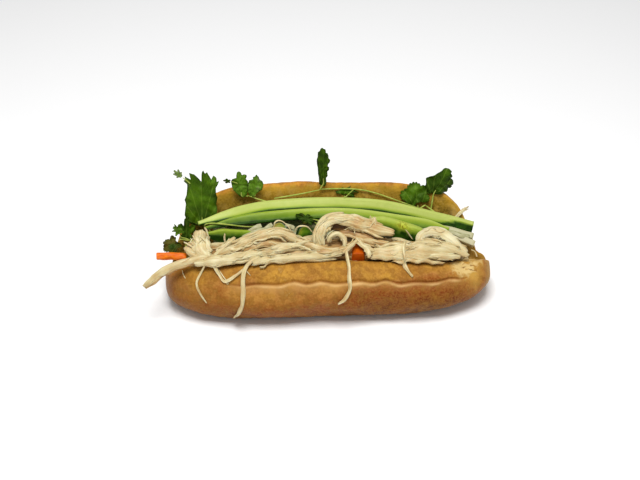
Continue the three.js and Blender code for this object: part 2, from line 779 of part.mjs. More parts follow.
place("roll", roll, COLOURS.crust, 0.6);
for (const [name, slice] of Object.entries(CUCUMBERS)) {
  place(name, (grow) => cucumber(slice, grow), COLOURS.cucumber, 0.35);
}
for (const [name, ring] of Object.entries(PEPPERS)) {
  place(name, (grow) => pepper(ring, grow), COLOURS.pepper, 0.35);
}
for (const [name, { points, width }] of Object.entries(CARROTS)) {
  place(name, (grow) => stick(points, width, grow), COLOURS.carrot, 0.4);
}
place("daikon", daikon, COLOURS.daikon, 0.35);
place("chicken", chicken, COLOURS.chicken, 0.6);
place("chicken_stray", strayShred, COLOURS.chicken, 0.6);
for (const [name, parts] of Object.entries(SPRIGS)) {
  place(name, (grow) => sprig(parts, grow), COLOURS.cilantro, 0.5);
}

export default sandwich;
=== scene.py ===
# %% [markdown]
# # A banh mi sandwich
# This lesson dresses a plain solid model of an opened banh mi, so that it looks good enough to eat. The
# solid model says where every piece lies and how large it is. Each step takes one piece, says what it is on
# the real sandwich, and makes its fine surface over the plain solid. Everything is in metres, +X runs along
# the roll, -Y is the front and +Z is up.

# %% Load the solid model
import math

import bpy
import numpy as np
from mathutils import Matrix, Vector
from mathutils.bvhtree import BVHTree


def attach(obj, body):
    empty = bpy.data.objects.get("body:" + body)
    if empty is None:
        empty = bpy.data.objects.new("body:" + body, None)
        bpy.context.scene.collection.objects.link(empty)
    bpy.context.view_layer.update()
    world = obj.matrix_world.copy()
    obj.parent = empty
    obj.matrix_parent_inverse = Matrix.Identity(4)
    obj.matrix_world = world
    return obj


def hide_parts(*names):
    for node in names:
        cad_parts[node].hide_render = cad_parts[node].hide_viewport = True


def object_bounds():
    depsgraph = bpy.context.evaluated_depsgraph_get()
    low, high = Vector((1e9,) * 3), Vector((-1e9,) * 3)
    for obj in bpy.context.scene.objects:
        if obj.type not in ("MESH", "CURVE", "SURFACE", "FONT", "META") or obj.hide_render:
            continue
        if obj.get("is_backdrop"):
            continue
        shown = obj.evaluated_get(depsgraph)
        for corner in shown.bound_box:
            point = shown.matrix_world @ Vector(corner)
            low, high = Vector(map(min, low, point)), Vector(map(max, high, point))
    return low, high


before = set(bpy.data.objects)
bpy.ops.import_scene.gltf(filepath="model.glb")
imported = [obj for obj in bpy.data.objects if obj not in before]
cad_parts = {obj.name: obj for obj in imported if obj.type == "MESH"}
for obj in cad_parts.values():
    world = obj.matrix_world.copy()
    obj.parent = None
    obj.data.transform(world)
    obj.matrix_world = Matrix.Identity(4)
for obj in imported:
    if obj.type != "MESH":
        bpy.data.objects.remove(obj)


solid_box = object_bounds()
print("solid model:", len(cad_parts), "nodes, box", [tuple(round(v, 4) for v in p) for p in solid_box])


# %% [markdown]
# ## Lines that bend
# Food has no straight edges. A shred of chicken, a stem or a slice of cucumber is a bar that follows a bent
# line. The line could be a curve object, but a curve gives every point of the bar the same round section.
# Here the line is worked out instead: a Catmull-Rom curve goes through a handful of points, and its
# direction at each place says which way the bar's section faces.

# %% A smooth line through points
MM = 0.001


def unit(vectors):
    """The same directions with a length of 1."""
    return vectors / np.maximum(np.linalg.norm(vectors, axis=-1, keepdims=True), 1e-12)


def smoothstep(value, low, high):
    """0 below low, 1 above high, and an easy slope between them."""
    share = np.clip((value - low) / (high - low), 0, 1)
    return share * share * (3 - 2 * share)


def line_through(points, share, closed=False):
    """Places and directions on the smooth line through points, at shares from 0 to 1 of it."""
    points = np.asarray(points, float)
    count = len(points)
    if closed:
        at = np.mod(share, 1) * count
        first = np.floor(at).astype(int) % count
        before, start, end, after = (points[(first + step) % count] for step in (-1, 0, 1, 2))
    else:
        longer = np.vstack([2 * points[0] - points[1], points, 2 * points[-1] - points[-2]])
        at = np.clip(share, 0, 1) * (count - 1)
        first = np.minimum(np.floor(at).astype(int), count - 2)
        before, start, end, after = (longer[first + step] for step in range(4))
    s = (at - np.floor(at) if closed else at - first)[..., None]
    leave, reach = (end - before) / 2, (after - start) / 2
    place = (2 * s**3 - 3 * s**2 + 1) * start + (s**3 - 2 * s**2 + s) * leave
    place += (3 * s**2 - 2 * s**3) * end + (s**3 - s**2) * reach
    way = (6 * s**2 - 6 * s) * (start - end) + (3 * s**2 - 4 * s + 1) * leave + (3 * s**2 - 2 * s) * reach
    return place, unit(way)


def length_of(points):
    """The length of the smooth line through points."""
    places, _ = line_through(points, np.linspace(0, 1, 60))
    return float(np.linalg.norm(np.diff(places, axis=0), axis=1).sum())


print("a line over an arch of 20 by 10 is", round(length_of([(0, 0, 0), (10, 0, 10), (20, 0, 0)]), 1), "long")


# %% [markdown]
# ## Unevenness
# Nothing on a plate repeats. Blender's noise textures could move the points, but a texture is read one
# object at a time. A few sine waves in random directions, added up, give the same soft humps for any list
# of numbers, and a fixed seed gives the same humps on every run.

# %% Soft humps
def lumps(places, size, seed, waves=9):
    """Soft uneven values, mostly from -1 to 1, for places of one or more numbers each."""
    places = np.asarray(places, float)
    if places.ndim == 1:
        places = places[:, None]
    rng = np.random.default_rng(seed)
    ways = unit(rng.normal(size=(waves, places.shape[1])))
    ways *= rng.uniform(0.6, 1.5, (waves, 1)) * math.tau / (2 * size)
    start = rng.uniform(0, math.tau, waves)
    return np.sin(places @ ways.T + start).sum(axis=1) / math.sqrt(waves)


print("humps:", np.round(lumps(np.arange(5), 4, seed=1), 2))


# %% [markdown]
# ## A blank bar
# Almost every piece starts as the same thing: a cylinder whose side is cut into rings. It is added as a
# primitive with its ends filled by fans, its long edges are selected, and Subdivide cuts the rings across
# them. A loop cut would do the same by hand. The bar is made once for each number of sides and rings, and
# copied. Each copy has its own mesh, and each point knows how far round and how far along the bar it sits.
# That pair of numbers is also the bar's UV map, in millimetres, so that a grain can run along it.

# %% Make and copy blank bars
def only(piece):
    """Selects one object and nothing else."""
    bpy.ops.object.select_all(action="DESELECT")
    piece.select_set(True)
    bpy.context.view_layer.objects.active = piece


def numbers(items, key, width):
    """One number or vector for each vertex, edge or corner of a mesh."""
    flat = np.empty(len(items) * width)
    items.foreach_get(key, flat)
    return flat.reshape(-1, width) if width > 1 else flat


def cut_across(piece, levels, cuts):
    """Cuts every edge that runs from one level to another, which adds rings of points between the levels."""
    bpy.context.tool_settings.mesh_select_mode = (False, True, False)
    bpy.ops.object.mode_set(mode="EDIT")
    bpy.ops.mesh.select_all(action="DESELECT")
    bpy.ops.object.mode_set(mode="OBJECT")
    for edge in piece.data.edges:
        start, end = edge.vertices
        edge.select = bool(abs(levels[start] - levels[end]) > 0.5)
    bpy.ops.object.mode_set(mode="EDIT")
    bpy.ops.mesh.subdivide(number_cuts=cuts)
    bpy.ops.object.mode_set(mode="OBJECT")


def placed(name, mesh):
    """A piece of that name made of the mesh."""
    piece = bpy.data.objects.new(name, mesh)
    bpy.context.scene.collection.objects.link(piece)
    return piece


def mark(mesh, name, values):
    """Gives each point of a mesh a number that its finish can read."""
    values = np.broadcast_to(np.asarray(values, float), len(mesh.vertices))
    mesh.attributes.new(name, "FLOAT", "POINT").data.foreach_set("value", values.copy())


print("tools to select, read, cut and mark a mesh are ready")


# %% The blank itself
class Blank:
    """A unit cylinder cut into rings, with each point's share round it and along it."""

    made = {}

    def __init__(self, sides, rings):
        bpy.ops.object.select_all(action="DESELECT")
        bpy.ops.mesh.primitive_cylinder_add(vertices=sides, radius=1, depth=1, end_fill_type="TRIFAN")
        piece = bpy.context.object
        cut_across(piece, numbers(piece.data.vertices, "co", 3)[:, 2], rings - 1)
        co = numbers(piece.data.vertices, "co", 3)
        self.rim = np.round(np.hypot(co[:, 0], co[:, 1]))
        first = co[np.argmax(self.rim)]
        turn = np.arctan2(co[:, 1], co[:, 0]) - math.atan2(first[1], first[0])
        self.column = np.round(turn / math.tau * sides).astype(int) % sides
        self.around = self.column / sides
        self.along = np.clip(co[:, 2] + 0.5, 0, 1)
        at_end = [self.along == end for end in (0, 1)]
        self.ends = [(here & (self.rim == 0), here & (self.rim == 1)) for here in at_end]
        self.corners = np.array([loop.vertex_index for loop in piece.data.loops])
        self.corner_around = self.unwrapped(piece.data)
        self.mesh = piece.data
        bpy.data.objects.remove(piece)

    def unwrapped(self, mesh):
        """How far round each face corner is, without a jump inside the face that closes the ring."""
        around = self.around[self.corners]
        for face in mesh.polygons:
            corners = list(face.loop_indices)
            if np.ptp(around[corners]) > 0.5:
                around[corners] += around[corners] < 0.5
        return around

    @classmethod
    def of(cls, sides, rings):
        """The blank of that many sides and rings, made once."""
        if (sides, rings) not in cls.made:
            cls.made[sides, rings] = cls(sides, rings)
        return cls.made[sides, rings]

    def copy(self, name, places, girth, length, tone=0.5):
        """A bar with its points at places, in millimetres."""
        mesh = self.mesh.copy()
        mesh.name = name
        mesh.vertices.foreach_set("co", np.ravel(places * MM))
        layer = mesh.uv_layers.new(name="grain")
        uv = np.stack([self.corner_around * girth, self.along[self.corners] * length], axis=1)
        layer.uv.foreach_set("vector", np.ravel(uv))
        mark(mesh, "tone", tone)
        mesh.update()
        return placed(name, mesh)


print("a blank of 8 sides and 5 rings has", len(Blank.of(8, 5).rim), "points")


# %% [markdown]
# ## Bars along a line
# A bar is laid along its line by moving the points of a blank. At each ring the line has a direction. The
# side of the bar is square to that and to the way the bar faces, and out is square to both. A section then
# says how far to the side and how far out each point goes.

# %% Sweep a section along a line
FILLING_TOP = (0, -0.6, 0.8)


def swept(name, points, section, sides=16, rings=40, facing=FILLING_TOP, tone=0.5, reach=(0, 1)):
    """A bar along the line through points.

    section(around, along) gives how far aside and out each point goes, in mm. It may also give how far a
    point slides along the line, and how much lighter or darker than its tone the piece is there."""
    blank = Blank.of(sides, rings)
    share = reach[0] + (reach[1] - reach[0]) * blank.along
    centre, way = line_through(points, share)
    side = unit(np.cross(way, np.broadcast_to(facing, way.shape)))
    out = np.cross(side, way)
    given = section(blank.around, blank.along)
    values = [np.array(np.broadcast_to(value, blank.rim.shape)) for value in given]
    for middle, ring in blank.ends:
        for value in values:
            value[middle] = value[ring].mean()  # the middle point of an end lies in the middle of its ring
    aside, outward, *extra = values
    places = centre + aside[:, None] * side + outward[:, None] * out
    if extra:
        slide, tone = extra[0], tone + extra[1]
        places += slide[:, None] * way
    girth = math.pi * (np.ptp(aside) + np.ptp(outward)) / 2
    return blank.copy(name, places, girth, length_of(points) * (reach[1] - reach[0]), tone)


print("a bar can follow any line, seen from", FILLING_TOP)


# %% Join the bars of a piece and place it
def joined(name, pieces):
    """One piece made of several, with its faces pointing out and smoothly shaded."""
    bpy.ops.object.select_all(action="DESELECT")
    for piece in pieces:
        piece.select_set(True)
    bpy.context.view_layer.objects.active = pieces[0]
    if len(pieces) > 1:
        bpy.ops.object.join()
    whole = bpy.context.object
    whole.name = name
    whole.data.name = name
    bpy.ops.object.mode_set(mode="EDIT")
    bpy.ops.mesh.select_all(action="SELECT")
    bpy.ops.mesh.normals_make_consistent(inside=False)
    bpy.ops.object.mode_set(mode="OBJECT")
    bpy.ops.object.shade_smooth()
    return whole


def put(piece, material, slot, *nodes):
    """Gives a piece its finish, ties it to the sandwich and hides the solids that it stands for."""
    piece.data.materials.clear()
    piece.data.materials.append(material)
    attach(piece, "root")
    if nodes:
        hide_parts(*nodes)
    size = np.ptp(numbers(piece.data.vertices, "co", 3), axis=0)
    print(f"{piece.name}: {len(piece.data.polygons)} faces, {np.round(size / MM, 1)} mm")


def put_each(pieces, material, slot):
    """Puts pieces that are known by the names of their solids."""
    for name, piece in pieces.items():
        put(piece, material, slot, name)


print("each finished piece is printed with its size")


# %% [markdown]
# ## The language of the finishes
# Each finish is a material of Blender's shader nodes. The same few moves come up in all of them: add a
# node, mix two colours, do a sum, and spread a value over a range. Short helpers keep those readable.

# %% Colours, nodes and sums
def colour(code):
    """A colour written as on the web, such as c8963c, in the linear values that shaders use."""
    parts = [int(code[i : i + 2], 16) / 255 for i in (0, 2, 4)]
    return [p / 12.92 if p <= 0.04045 else ((p + 0.055) / 1.055) ** 2.4 for p in parts] + [1]


def feed(tree, socket, value):
    """Links a socket to another node's output, or sets it to a plain value or a colour code."""
    if isinstance(value, bpy.types.NodeSocket):
        tree.links.new(value, socket)
    else:
        socket.default_value = colour(value) if isinstance(value, str) else value


def add(tree, kind, output=0, *, props=None, **inputs):
    """Adds a node. An input's name is written with _ for each space."""
    made = tree.nodes.new("ShaderNode" + kind)
    for key, value in (props or {}).items():
        setattr(made, key, value)
    for key, value in inputs.items():
        feed(tree, made.inputs[key.replace("_", " ")], value)
    return made.outputs[output]


def sum_of(tree, operation, *values):
    """A Math node."""
    made = tree.nodes.new("ShaderNodeMath")
    made.operation = operation
    for socket, value in zip(made.inputs, values):
        feed(tree, socket, value)
    return made.outputs[0]


def axes_of(tree, vector):
    """The three numbers of a vector."""
    made = tree.nodes.new("ShaderNodeSeparateXYZ")
    tree.links.new(vector, made.inputs[0])
    return made.outputs


def times(tree, first, second):
    """The product of two values."""
    return sum_of(tree, "MULTIPLY", first, second)


print("crust gold, linear:", np.round(colour("c8963c"), 3))


# %% Mix, spread and stain
def mixed(tree, share, low, high):
    """A colour between low and high."""
    made = tree.nodes.new("ShaderNodeMix")
    made.data_type = "RGBA"
    for index, value in ((0, share), (6, low), (7, high)):
        feed(tree, made.inputs[index], value)
    return made.outputs[2]


def spread(tree, value, low, high, start=0.0, end=1.0):
    """0 below low and 1 above high, or start and end, with an easy slope."""
    made = tree.nodes.new("ShaderNodeMapRange")
    made.interpolation_type = "SMOOTHSTEP"
    for index, number in enumerate((value, low, high, start, end)):
        feed(tree, made.inputs[index], number)
    return made.outputs[0]


def ramp(tree, value, *stops):
    """A colour for each value, from stops of a place and a colour code."""
    made = tree.nodes.new("ShaderNodeValToRGB")
    feed(tree, made.inputs[0], value)
    elements = made.color_ramp.elements
    while len(elements) < len(stops):
        elements.new(1)
    for element, (place, code) in zip(elements, stops):
        element.position = place
        element.color = colour(code)
    return made.outputs[0]


def stained(tree, base, mask, share, code):
    """The base colour, with up to that share of another one where the mask is high."""
    return mixed(tree, times(tree, mask, share), base, code)


def wavering(tree, value, noise, amount):
    """A value that is pushed up and down by a noise from 0 to 1."""
    return sum_of(tree, "ADD", value, sum_of(tree, "MULTIPLY_ADD", noise, amount, -amount / 2))


print("colours can be mixed, spread over a range and stained")


# %% Read the mesh, and start and end a finish
def attribute(tree, name):
    """A number that each point of the piece carries."""
    made = tree.nodes.new("ShaderNodeAttribute")
    made.attribute_name = name
    return made.outputs["Fac"]


def finish(name, roughness, **settings):
    """A new material, its node tree and its shader."""
    material = bpy.data.materials.new(name)
    material.use_nodes = True
    shader = material.node_tree.nodes["Principled BSDF"]
    shader.inputs["Roughness"].default_value = roughness
    for key, value in settings.items():
        shader.inputs[key.replace("_", " ")].default_value = value
    return material, material.node_tree, shader


def raised(tree, shader, height, distance, strength=1.0):
    """Bumps from a height of 0 to 1 that stands for distance, in metres."""
    bump = tree.nodes.new("ShaderNodeBump")
    bump.inputs["Strength"].default_value = strength
    bump.inputs["Distance"].default_value = distance
    feed(tree, bump.inputs["Height"], height)
    tree.links.new(bump.outputs[0], shader.inputs["Normal"])


# %% [markdown]
# ## Two effects that many finishes share
# Meat, carrot and cucumber all have a grain that runs along the piece. It is a noise that is stretched
# along the bar's UV map. All the foods are also blotchy: no two places have quite the same colour, at a
# large scale and at a small one. Each effect is a node group, built once, and every finish gives it values
# of its own.

# %% Grain and blotches
def group(name, inputs):
    """A new node group with number inputs and one output, Mask."""
    tree = bpy.data.node_groups.new(name, "ShaderNodeTree")
    for key, value in inputs.items():
        socket = tree.interface.new_socket(key, in_out="INPUT", socket_type="NodeSocketFloat")
        socket.default_value = value
    tree.interface.new_socket("Mask", in_out="OUTPUT", socket_type="NodeSocketFloat")
    entry = tree.nodes.new("NodeGroupInput")
    exit_node = tree.nodes.new("NodeGroupOutput")
    return tree, entry, exit_node


def grain_group():
    """Lines along a bar. Fineness is how many there are to a millimetre round it."""
    tree, entry, exit_node = group("grain", {"Fineness": 1.0, "Stretch": 12.0, "Seed": 0.0})
    around, along, _ = axes_of(tree, add(tree, "UVMap", props={"uv_map": "grain"}))
    round_it = times(tree, around, entry.outputs["Fineness"])
    slow = sum_of(tree, "DIVIDE", along, entry.outputs["Stretch"])
    along_it = times(tree, slow, entry.outputs["Fineness"])
    place = add(tree, "CombineXYZ", X=round_it, Y=along_it, Z=entry.outputs["Seed"])
    noise = add(tree, "TexNoise", Vector=place, Scale=1.0, Detail=3.0, Roughness=0.6)
    tree.links.new(spread(tree, noise, 0.3, 0.7), exit_node.inputs[0])
    return tree


def blotch_group():
    """Soft patches in space. Size is in millimetres."""
    tree, entry, exit_node = group("blotches", {"Size": 5.0, "Detail": 2.0, "Sharpness": 0.2})
    place = tree.nodes.new("ShaderNodeTexCoord").outputs["Object"]
    scale = sum_of(tree, "DIVIDE", 1000.0, entry.outputs["Size"])
    noise = add(tree, "TexNoise", Vector=place, Scale=scale, Detail=entry.outputs["Detail"], Roughness=0.6)
    low = sum_of(tree, "SUBTRACT", 0.5, entry.outputs["Sharpness"])
    high = sum_of(tree, "ADD", 0.5, entry.outputs["Sharpness"])
    tree.links.new(spread(tree, noise, low, high), exit_node.inputs[0])
    return tree


GROUPS = {"grain": grain_group(), "blotches": blotch_group()}


def effect(tree, name, **values):
    """Places one of the groups in a material and gives its Mask."""
    made = tree.nodes.new("ShaderNodeGroup")
    made.node_tree = GROUPS[name]
    for key, value in values.items():
        made.inputs[key].default_value = value
    return made.outputs["Mask"]


print("node groups:", sorted(GROUPS))


# %% [markdown]
# ## The camera, the light and the table
# The camera looks down on the front of the sandwich from well above the table. It comes early, so that each
# piece can be looked at as it is made. The light is that of a plain white studio: a bright, even sky for
# soft shadows, and one large lamp above and in front that gives the crust and the wet slices their
# highlights.

# %% Camera, lamp, sky and table
CAMERA_AIM = Vector((-5.5, 0, 41)) * MM
CAMERA_AWAY = 0.7
CAMERA_HEIGHT = math.radians(39)  # angle above the table
CAMERA_TURN = math.radians(-3)  # angle round the sandwich
LENS = 57.4

back = Vector((math.sin(CAMERA_TURN), -math.cos(CAMERA_TURN), 0)) * math.cos(CAMERA_HEIGHT)
back.z = math.sin(CAMERA_HEIGHT)
bpy.ops.object.camera_add(location=CAMERA_AIM + back * CAMERA_AWAY)
camera = bpy.context.object
camera.rotation_euler = back.to_track_quat("Z", "Y").to_euler()
camera.data.lens = LENS
camera.data.sensor_width = 36
camera.data.clip_start = 0.01
bpy.context.scene.camera = camera

LAMP_SIZE = 0.45
bpy.ops.object.light_add(type="AREA", location=(-0.05, -0.22, 1.0))
lamp = bpy.context.object
lamp.data.size = LAMP_SIZE
lamp.data.energy = 9.5
lamp.rotation_euler = (lamp.location - CAMERA_AIM).to_track_quat("Z", "Y").to_euler()

sky = bpy.data.worlds.new("studio")
bpy.context.scene.world = sky
sky.use_nodes = True
sky.node_tree.nodes["Background"].inputs["Color"].default_value = (1, 1, 1, 1)
sky.node_tree.nodes["Background"].inputs["Strength"].default_value = 0.42
bpy.context.scene.view_settings.view_transform = "Standard"

bpy.ops.mesh.primitive_plane_add(size=8, location=(0, 0, 0))
table = bpy.context.object
table.name = "table"
table_finish, tree, shader = finish("table", 0.7)
shader.inputs["Base Color"].default_value = (0.97, 0.97, 0.97, 1)
table.data.materials.append(table_finish)
table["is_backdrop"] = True
print("camera at", [round(v, 3) for v in camera.location])


# %% [markdown]
# ## The roll
# A banh mi roll is baked with one cut along it, which bursts into a seam with a pale, swollen ledge. It is
# then split open, so that its section is a trough. One blank bar becomes the whole roll: round it runs the
# outline of the opened section, and along it the outline shrinks towards both rounded ends. The numbers are
# those of the solid roll, and only the points lie closer together: a row each millimetre, and one each
# third of a millimetre at the seam.

# %% The section of the roll
HALF_LENGTH = 113
HINGE_Y = 2
END_LIFT = {"left": 7, "right": 10}
FLAT_SHARE = 0.45
FRONT_DROOP, REAR_DROOP = 0.13, 0.05
FRONT_WALL = {"y": -16, "z": 21, "ry": 28.5, "rz": 24.5, "start": 66, "end": -58, "points": 7}
REAR_WALL = {"y": 25, "z": 31.5, "ry": 30.5, "rz": 34, "start": -60, "end": 66, "points": 8}
FRONT_LIP = (-22, 40.5)
REAR_LIP = (32.5, 57)
TROUGH_FLOOR = (2, 15.5)
TROUGH_SAG = 2.5
BLUNTNESS = 3.4
REAR_REACH = {"left": 0.97, "right": 0.94}  # where the rear half ends, in shares of the half length
REAR_REST, REAR_FALL = 0.3, 13  # what is left of it there, torn low, and how suddenly it falls


def wall_arc(wall, side):
    """Points along a wall: side is -1 for the front one and 1 for the rear one."""
    angles = np.radians(np.linspace(wall["start"], wall["end"], wall["points"]))
    return list(zip(wall["y"] + side * wall["ry"] * np.cos(angles), wall["z"] + wall["rz"] * np.sin(angles)))


def crumb_face(start, end, shares):
    """Points between a lip and the floor of the trough."""
    start, end = np.array(start), np.array(end)
    return [tuple(start * (1 - s) + end * s - [0, TROUGH_SAG * math.sin(math.pi * s)]) for s in shares]


OUTLINE = [
    *wall_arc(FRONT_WALL, -1),
    (-14, 0),
    (4, 0),
    (22, 0),
    *wall_arc(REAR_WALL, 1),
    REAR_LIP,
    *crumb_face(REAR_LIP, TROUGH_FLOOR, (0.33, 0.7)),
    TROUGH_FLOOR,
    *crumb_face(TROUGH_FLOOR, FRONT_LIP, (0.35, 0.7)),
    FRONT_LIP,
]
print("outline of", len(OUTLINE), "points")


# %% [markdown]
# ## Two rounded ends
# A roll is nearly as thick near its ends as in the middle and then rounds off at once. A circle would round
# off too early, so the profile is a superellipse, whose power says how blunt it is. The rear half ends a
# little sooner than the front one, and the whole roll lifts off the table towards its ends.

# %% How the section shrinks towards the ends
def fullness(s):
    """1 at mid-length and 0 at the tips, for shares s of the half length."""
    return np.maximum(0, 1 - np.abs(s) ** BLUNTNESS) ** (1 / BLUNTNESS)


def rear_share(s):
    """How much of that is left of the rear half, which is shorter."""
    reach = np.where(s < 0, REAR_REACH["left"], REAR_REACH["right"])
    return 1 - (1 - REAR_REST) * np.minimum(1, np.abs(s) / reach) ** REAR_FALL


def taper(x, y, z):
    """Moves points of the mid-length section to their place at x."""
    s = np.clip(x / HALF_LENGTH, -1, 1)
    rearward = smoothstep(y, -15, 20)
    k = fullness(s) * (1 + (rear_share(s) - 1) * rearward)
    droop = 1 - (FRONT_DROOP + (REAR_DROOP - FRONT_DROOP) * rearward) * smoothstep(s, -0.1, 0.9)
    rise = np.where(s < 0, END_LIFT["left"], END_LIFT["right"])
    lift = rise * np.maximum(0, (np.abs(s) - FLAT_SHARE) / (1 - FLAT_SHARE)) ** 2.2
    return np.stack([x + 0 * y, HINGE_Y + (y - HINGE_Y) * k, z * k * droop + lift], axis=-1)


print("at 0.9 of the half length the section is", round(float(fullness(0.9)), 2), "of its full size")


# %% [markdown]
# ## The burst seam
# The cut along a roll opens in the oven: a groove runs along it, and below the groove the dough swells out
# into a ledge. It could be painted on, but it catches the light, so it is relief. It wanders up and down a
# little, and it fades out towards both ends. Slow swells over the whole crust keep it from being a perfect
# sweep.

# %% The seam and the swells of the crust
SEAM_START, SEAM_END = -62, 96
SEAM_DEPTH, SEAM_LEDGE = 1, 1.4
SEAM_WAVE, SEAM_WAVELENGTH = 0.08, 21
SEAM_AT = 1.42  # in outline points from the front lip


def seam_strength(x):
    """1 where the seam is open and 0 beyond its ends."""
    fade_in = smoothstep(x, SEAM_START - 12, SEAM_START + 8)
    return fade_in * (1 - smoothstep(x, SEAM_END - 14, SEAM_END))


def seam_wander(row, x):
    """How far a row near the seam wanders up and down with it, in outline points."""
    wave = np.sin(math.tau * x / SEAM_WAVELENGTH) + 0.5 * np.sin(x / 8 + 1) + 0.4 * np.sin(x / 2.4 + 2)
    return SEAM_WAVE * wave * seam_strength(x) * np.exp(-(((row - SEAM_AT) / 0.6) ** 2))


def seam_relief(row, x):
    """A groove above the seam and a swollen ledge below it, in mm."""
    below = row - SEAM_AT
    groove = -SEAM_DEPTH * np.exp(-(((below + 0.08) / 0.12) ** 2))
    ledge = np.where(below > 0, SEAM_LEDGE * np.exp(-np.maximum(below, 0) / 0.7), 0)
    return seam_strength(x) * (groove + ledge)


def crust_swell(row, x):
    """Slow swells that keep the crust from being a perfect sweep."""
    on_front = smoothstep(row, 0, 2) * (1 - smoothstep(row, 4.5, 6))
    on_rear = smoothstep(row, 11, 13) * (1 - smoothstep(row, 16, 18))
    return (on_front + on_rear) * (0.7 * np.sin(x / 21 + row) + 0.45 * np.sin(x / 9.5 - 1.7 * row))


def roll_point(x, row, lift=0.0):
    """A point of the roll's surface, moved out of the crust by lift."""
    x, row = np.broadcast_arrays(np.asarray(x, float), np.asarray(row, float))
    at, way = line_through(OUTLINE, (row + seam_wander(row, x)) / len(OUTLINE), closed=True)
    out = lift + seam_relief(row, x) + crust_swell(row, x)
    y = at[..., 0] + out * way[..., 1]
    z = at[..., 1] - out * way[..., 0]
    return taper(x, y, np.where(np.asarray(lift) > 0, z, np.maximum(z, 0)))


print("front lip at mid-length:", np.round(roll_point(0, 24), 1))


# %% [markdown]
# ## Bread from the formula
# The rings of the bar lie close together where the roll turns round its ends. They are set by walking along
# the roll's own profile in equal steps. The torn, crumbly patch near the right end of the front lip is
# pushed in and out by humps of two sizes. The crumb inside is open and rough. Both are real relief in the
# mesh.

# %% The sizes of the bread's surface
ROW_STEP, SEAM_ROW_STEP = 0.125, 0.04
CLOSE_ROWS = (-0.5, 0.8)  # where the rows lie closer, in outline points from the seam
RINGS = 230
CRUMB_FROM, CRUMB_TO = 18, 24.1
TOASTED_FROM, TOASTED_TO = 17, 20.6  # how far down the rear crumb face the toasted, oily part reaches
TORN = {"x": 93, "row": 0.35, "wide": 10, "tall": 0.8}
FLAP = {"x": 100, "row": 20.6, "wide": 8, "tall": 0.8, "high": 3.5}  # a torn flap of crumb that curls up
HUMPS = {  # height and size in mm, seed, number of waves, and how they are drawn out across the roll
    "ragged": (0.25, 5, 3, 9, 1),
    "flap": (0.3, 4, 15, 9, 1),
    "crumb": (0.6, 3, 5, 24, 1),
    "fine crumb": (0.7, 1.4, 6, 40, 1),
    "cracks": (1, 3.4, 7, 30, 1),
    "cracked parts": (1, 5, 18, 9, 1),
    "torn": (0.9, 4, 8, 9, 1),
    "dimples": (0.25, 7, 9, 24, 1),
    "pinches": (0.12, 1.8, 10, 24, 0.25),
    "pleats": (1, 4.5, 19, 24, 0.15),
    "broken seam": (1, 6, 20, 24, 0.1),
}


def humps(kind, places):
    """One kind of unevenness of the bread."""
    height, size, seed, waves, across = HUMPS[kind]
    return height * lumps(places * [1, across, across], size, seed, waves)


print("kinds of humps on the bread:", len(HUMPS))


# %% Rings and rows
def even_stations(count):
    """Shares of the half length from -1 to 1, evenly spaced along the roll's profile."""
    fine = np.sin(np.linspace(-math.pi / 2, math.pi / 2, 4001))
    steps = np.hypot(np.diff(fine), 0.4 * np.diff(fullness(fine)))
    steps = np.hypot(steps, 0.35 * np.diff(rear_share(fine)))
    run = np.concatenate([[0], np.cumsum(steps)])
    return np.interp(np.linspace(0, run[-1], count + 1), run, fine)


def patch(x, row, spot):
    """1 in the middle of a spot of the surface, and less towards its edge."""
    rows_away = np.minimum(np.abs(row - spot["row"]), np.abs(row - len(OUTLINE) - spot["row"]))
    return np.exp(-(((x - spot["x"]) / spot["wide"]) ** 2) - (rows_away / spot["tall"]) ** 2)


def outward_of(x, row):
    """The way the crust faces."""
    return unit(roll_point(x, row, 1.0) - roll_point(x, row, 0.001))


def bread_rows():
    """Where the rows of points lie along the outline: closer at the seam than elsewhere."""
    sparse = np.arange(0, len(OUTLINE), ROW_STEP)
    dense = np.arange(SEAM_AT + CLOSE_ROWS[0], SEAM_AT + CLOSE_ROWS[1], SEAM_ROW_STEP)
    return np.sort(np.concatenate([sparse[(sparse < dense[0] - 0.02) | (sparse > dense[-1] + 0.02)], dense]))


print("rows round the roll:", len(bread_rows()))


# %% Areas of the bread
CRACKED = (0.05, 0.3)  # how near to zero the humps of the cracks lie in a crack, and beside it
SWELL_AT, SWELL_WIDTH = 0.28, 0.3  # of the ledge below the seam, in outline points


def crumb_area(row, ragged):
    """1 on the crumb from lip to lip, with a ragged edge."""
    crumb = smoothstep(row, CRUMB_FROM - 0.3 + ragged, CRUMB_FROM + 0.2 + ragged)
    return crumb * (1 - smoothstep(row, CRUMB_TO - 0.3 + ragged, CRUMB_TO + 0.2 + ragged))


def toasted_area(row, x, ragged):
    """1 where the rear crumb face is toasted, and less at the right end."""
    toasted = smoothstep(row, TOASTED_FROM + 0.6 * ragged, TOASTED_FROM + 0.7 + 0.6 * ragged)
    toasted *= 1 - smoothstep(row, TOASTED_TO - 0.8, TOASTED_TO + 0.6)
    return toasted * (1 - 0.4 * smoothstep(x, 84, 100))


def bread_areas(row, x, flat):
    """How far each point of the roll belongs to each of its areas."""
    ragged = humps("ragged", flat)
    crack = 1 - smoothstep(np.abs(humps("cracks", flat)), *CRACKED)
    return {
        "crumb": crumb_area(row, ragged),
        "toasted": toasted_area(row, x, ragged),
        "torn": patch(x, row, TORN),
        "flap": patch(x, row, FLAP) * (0.8 + humps("flap", flat)),
        "crack": crack * smoothstep(humps("cracked parts", flat), -0.6, 0.1),
        "swell": seam_strength(x) * np.exp(-(((row - SEAM_AT - SWELL_AT) / SWELL_WIDTH) ** 2)),
    }


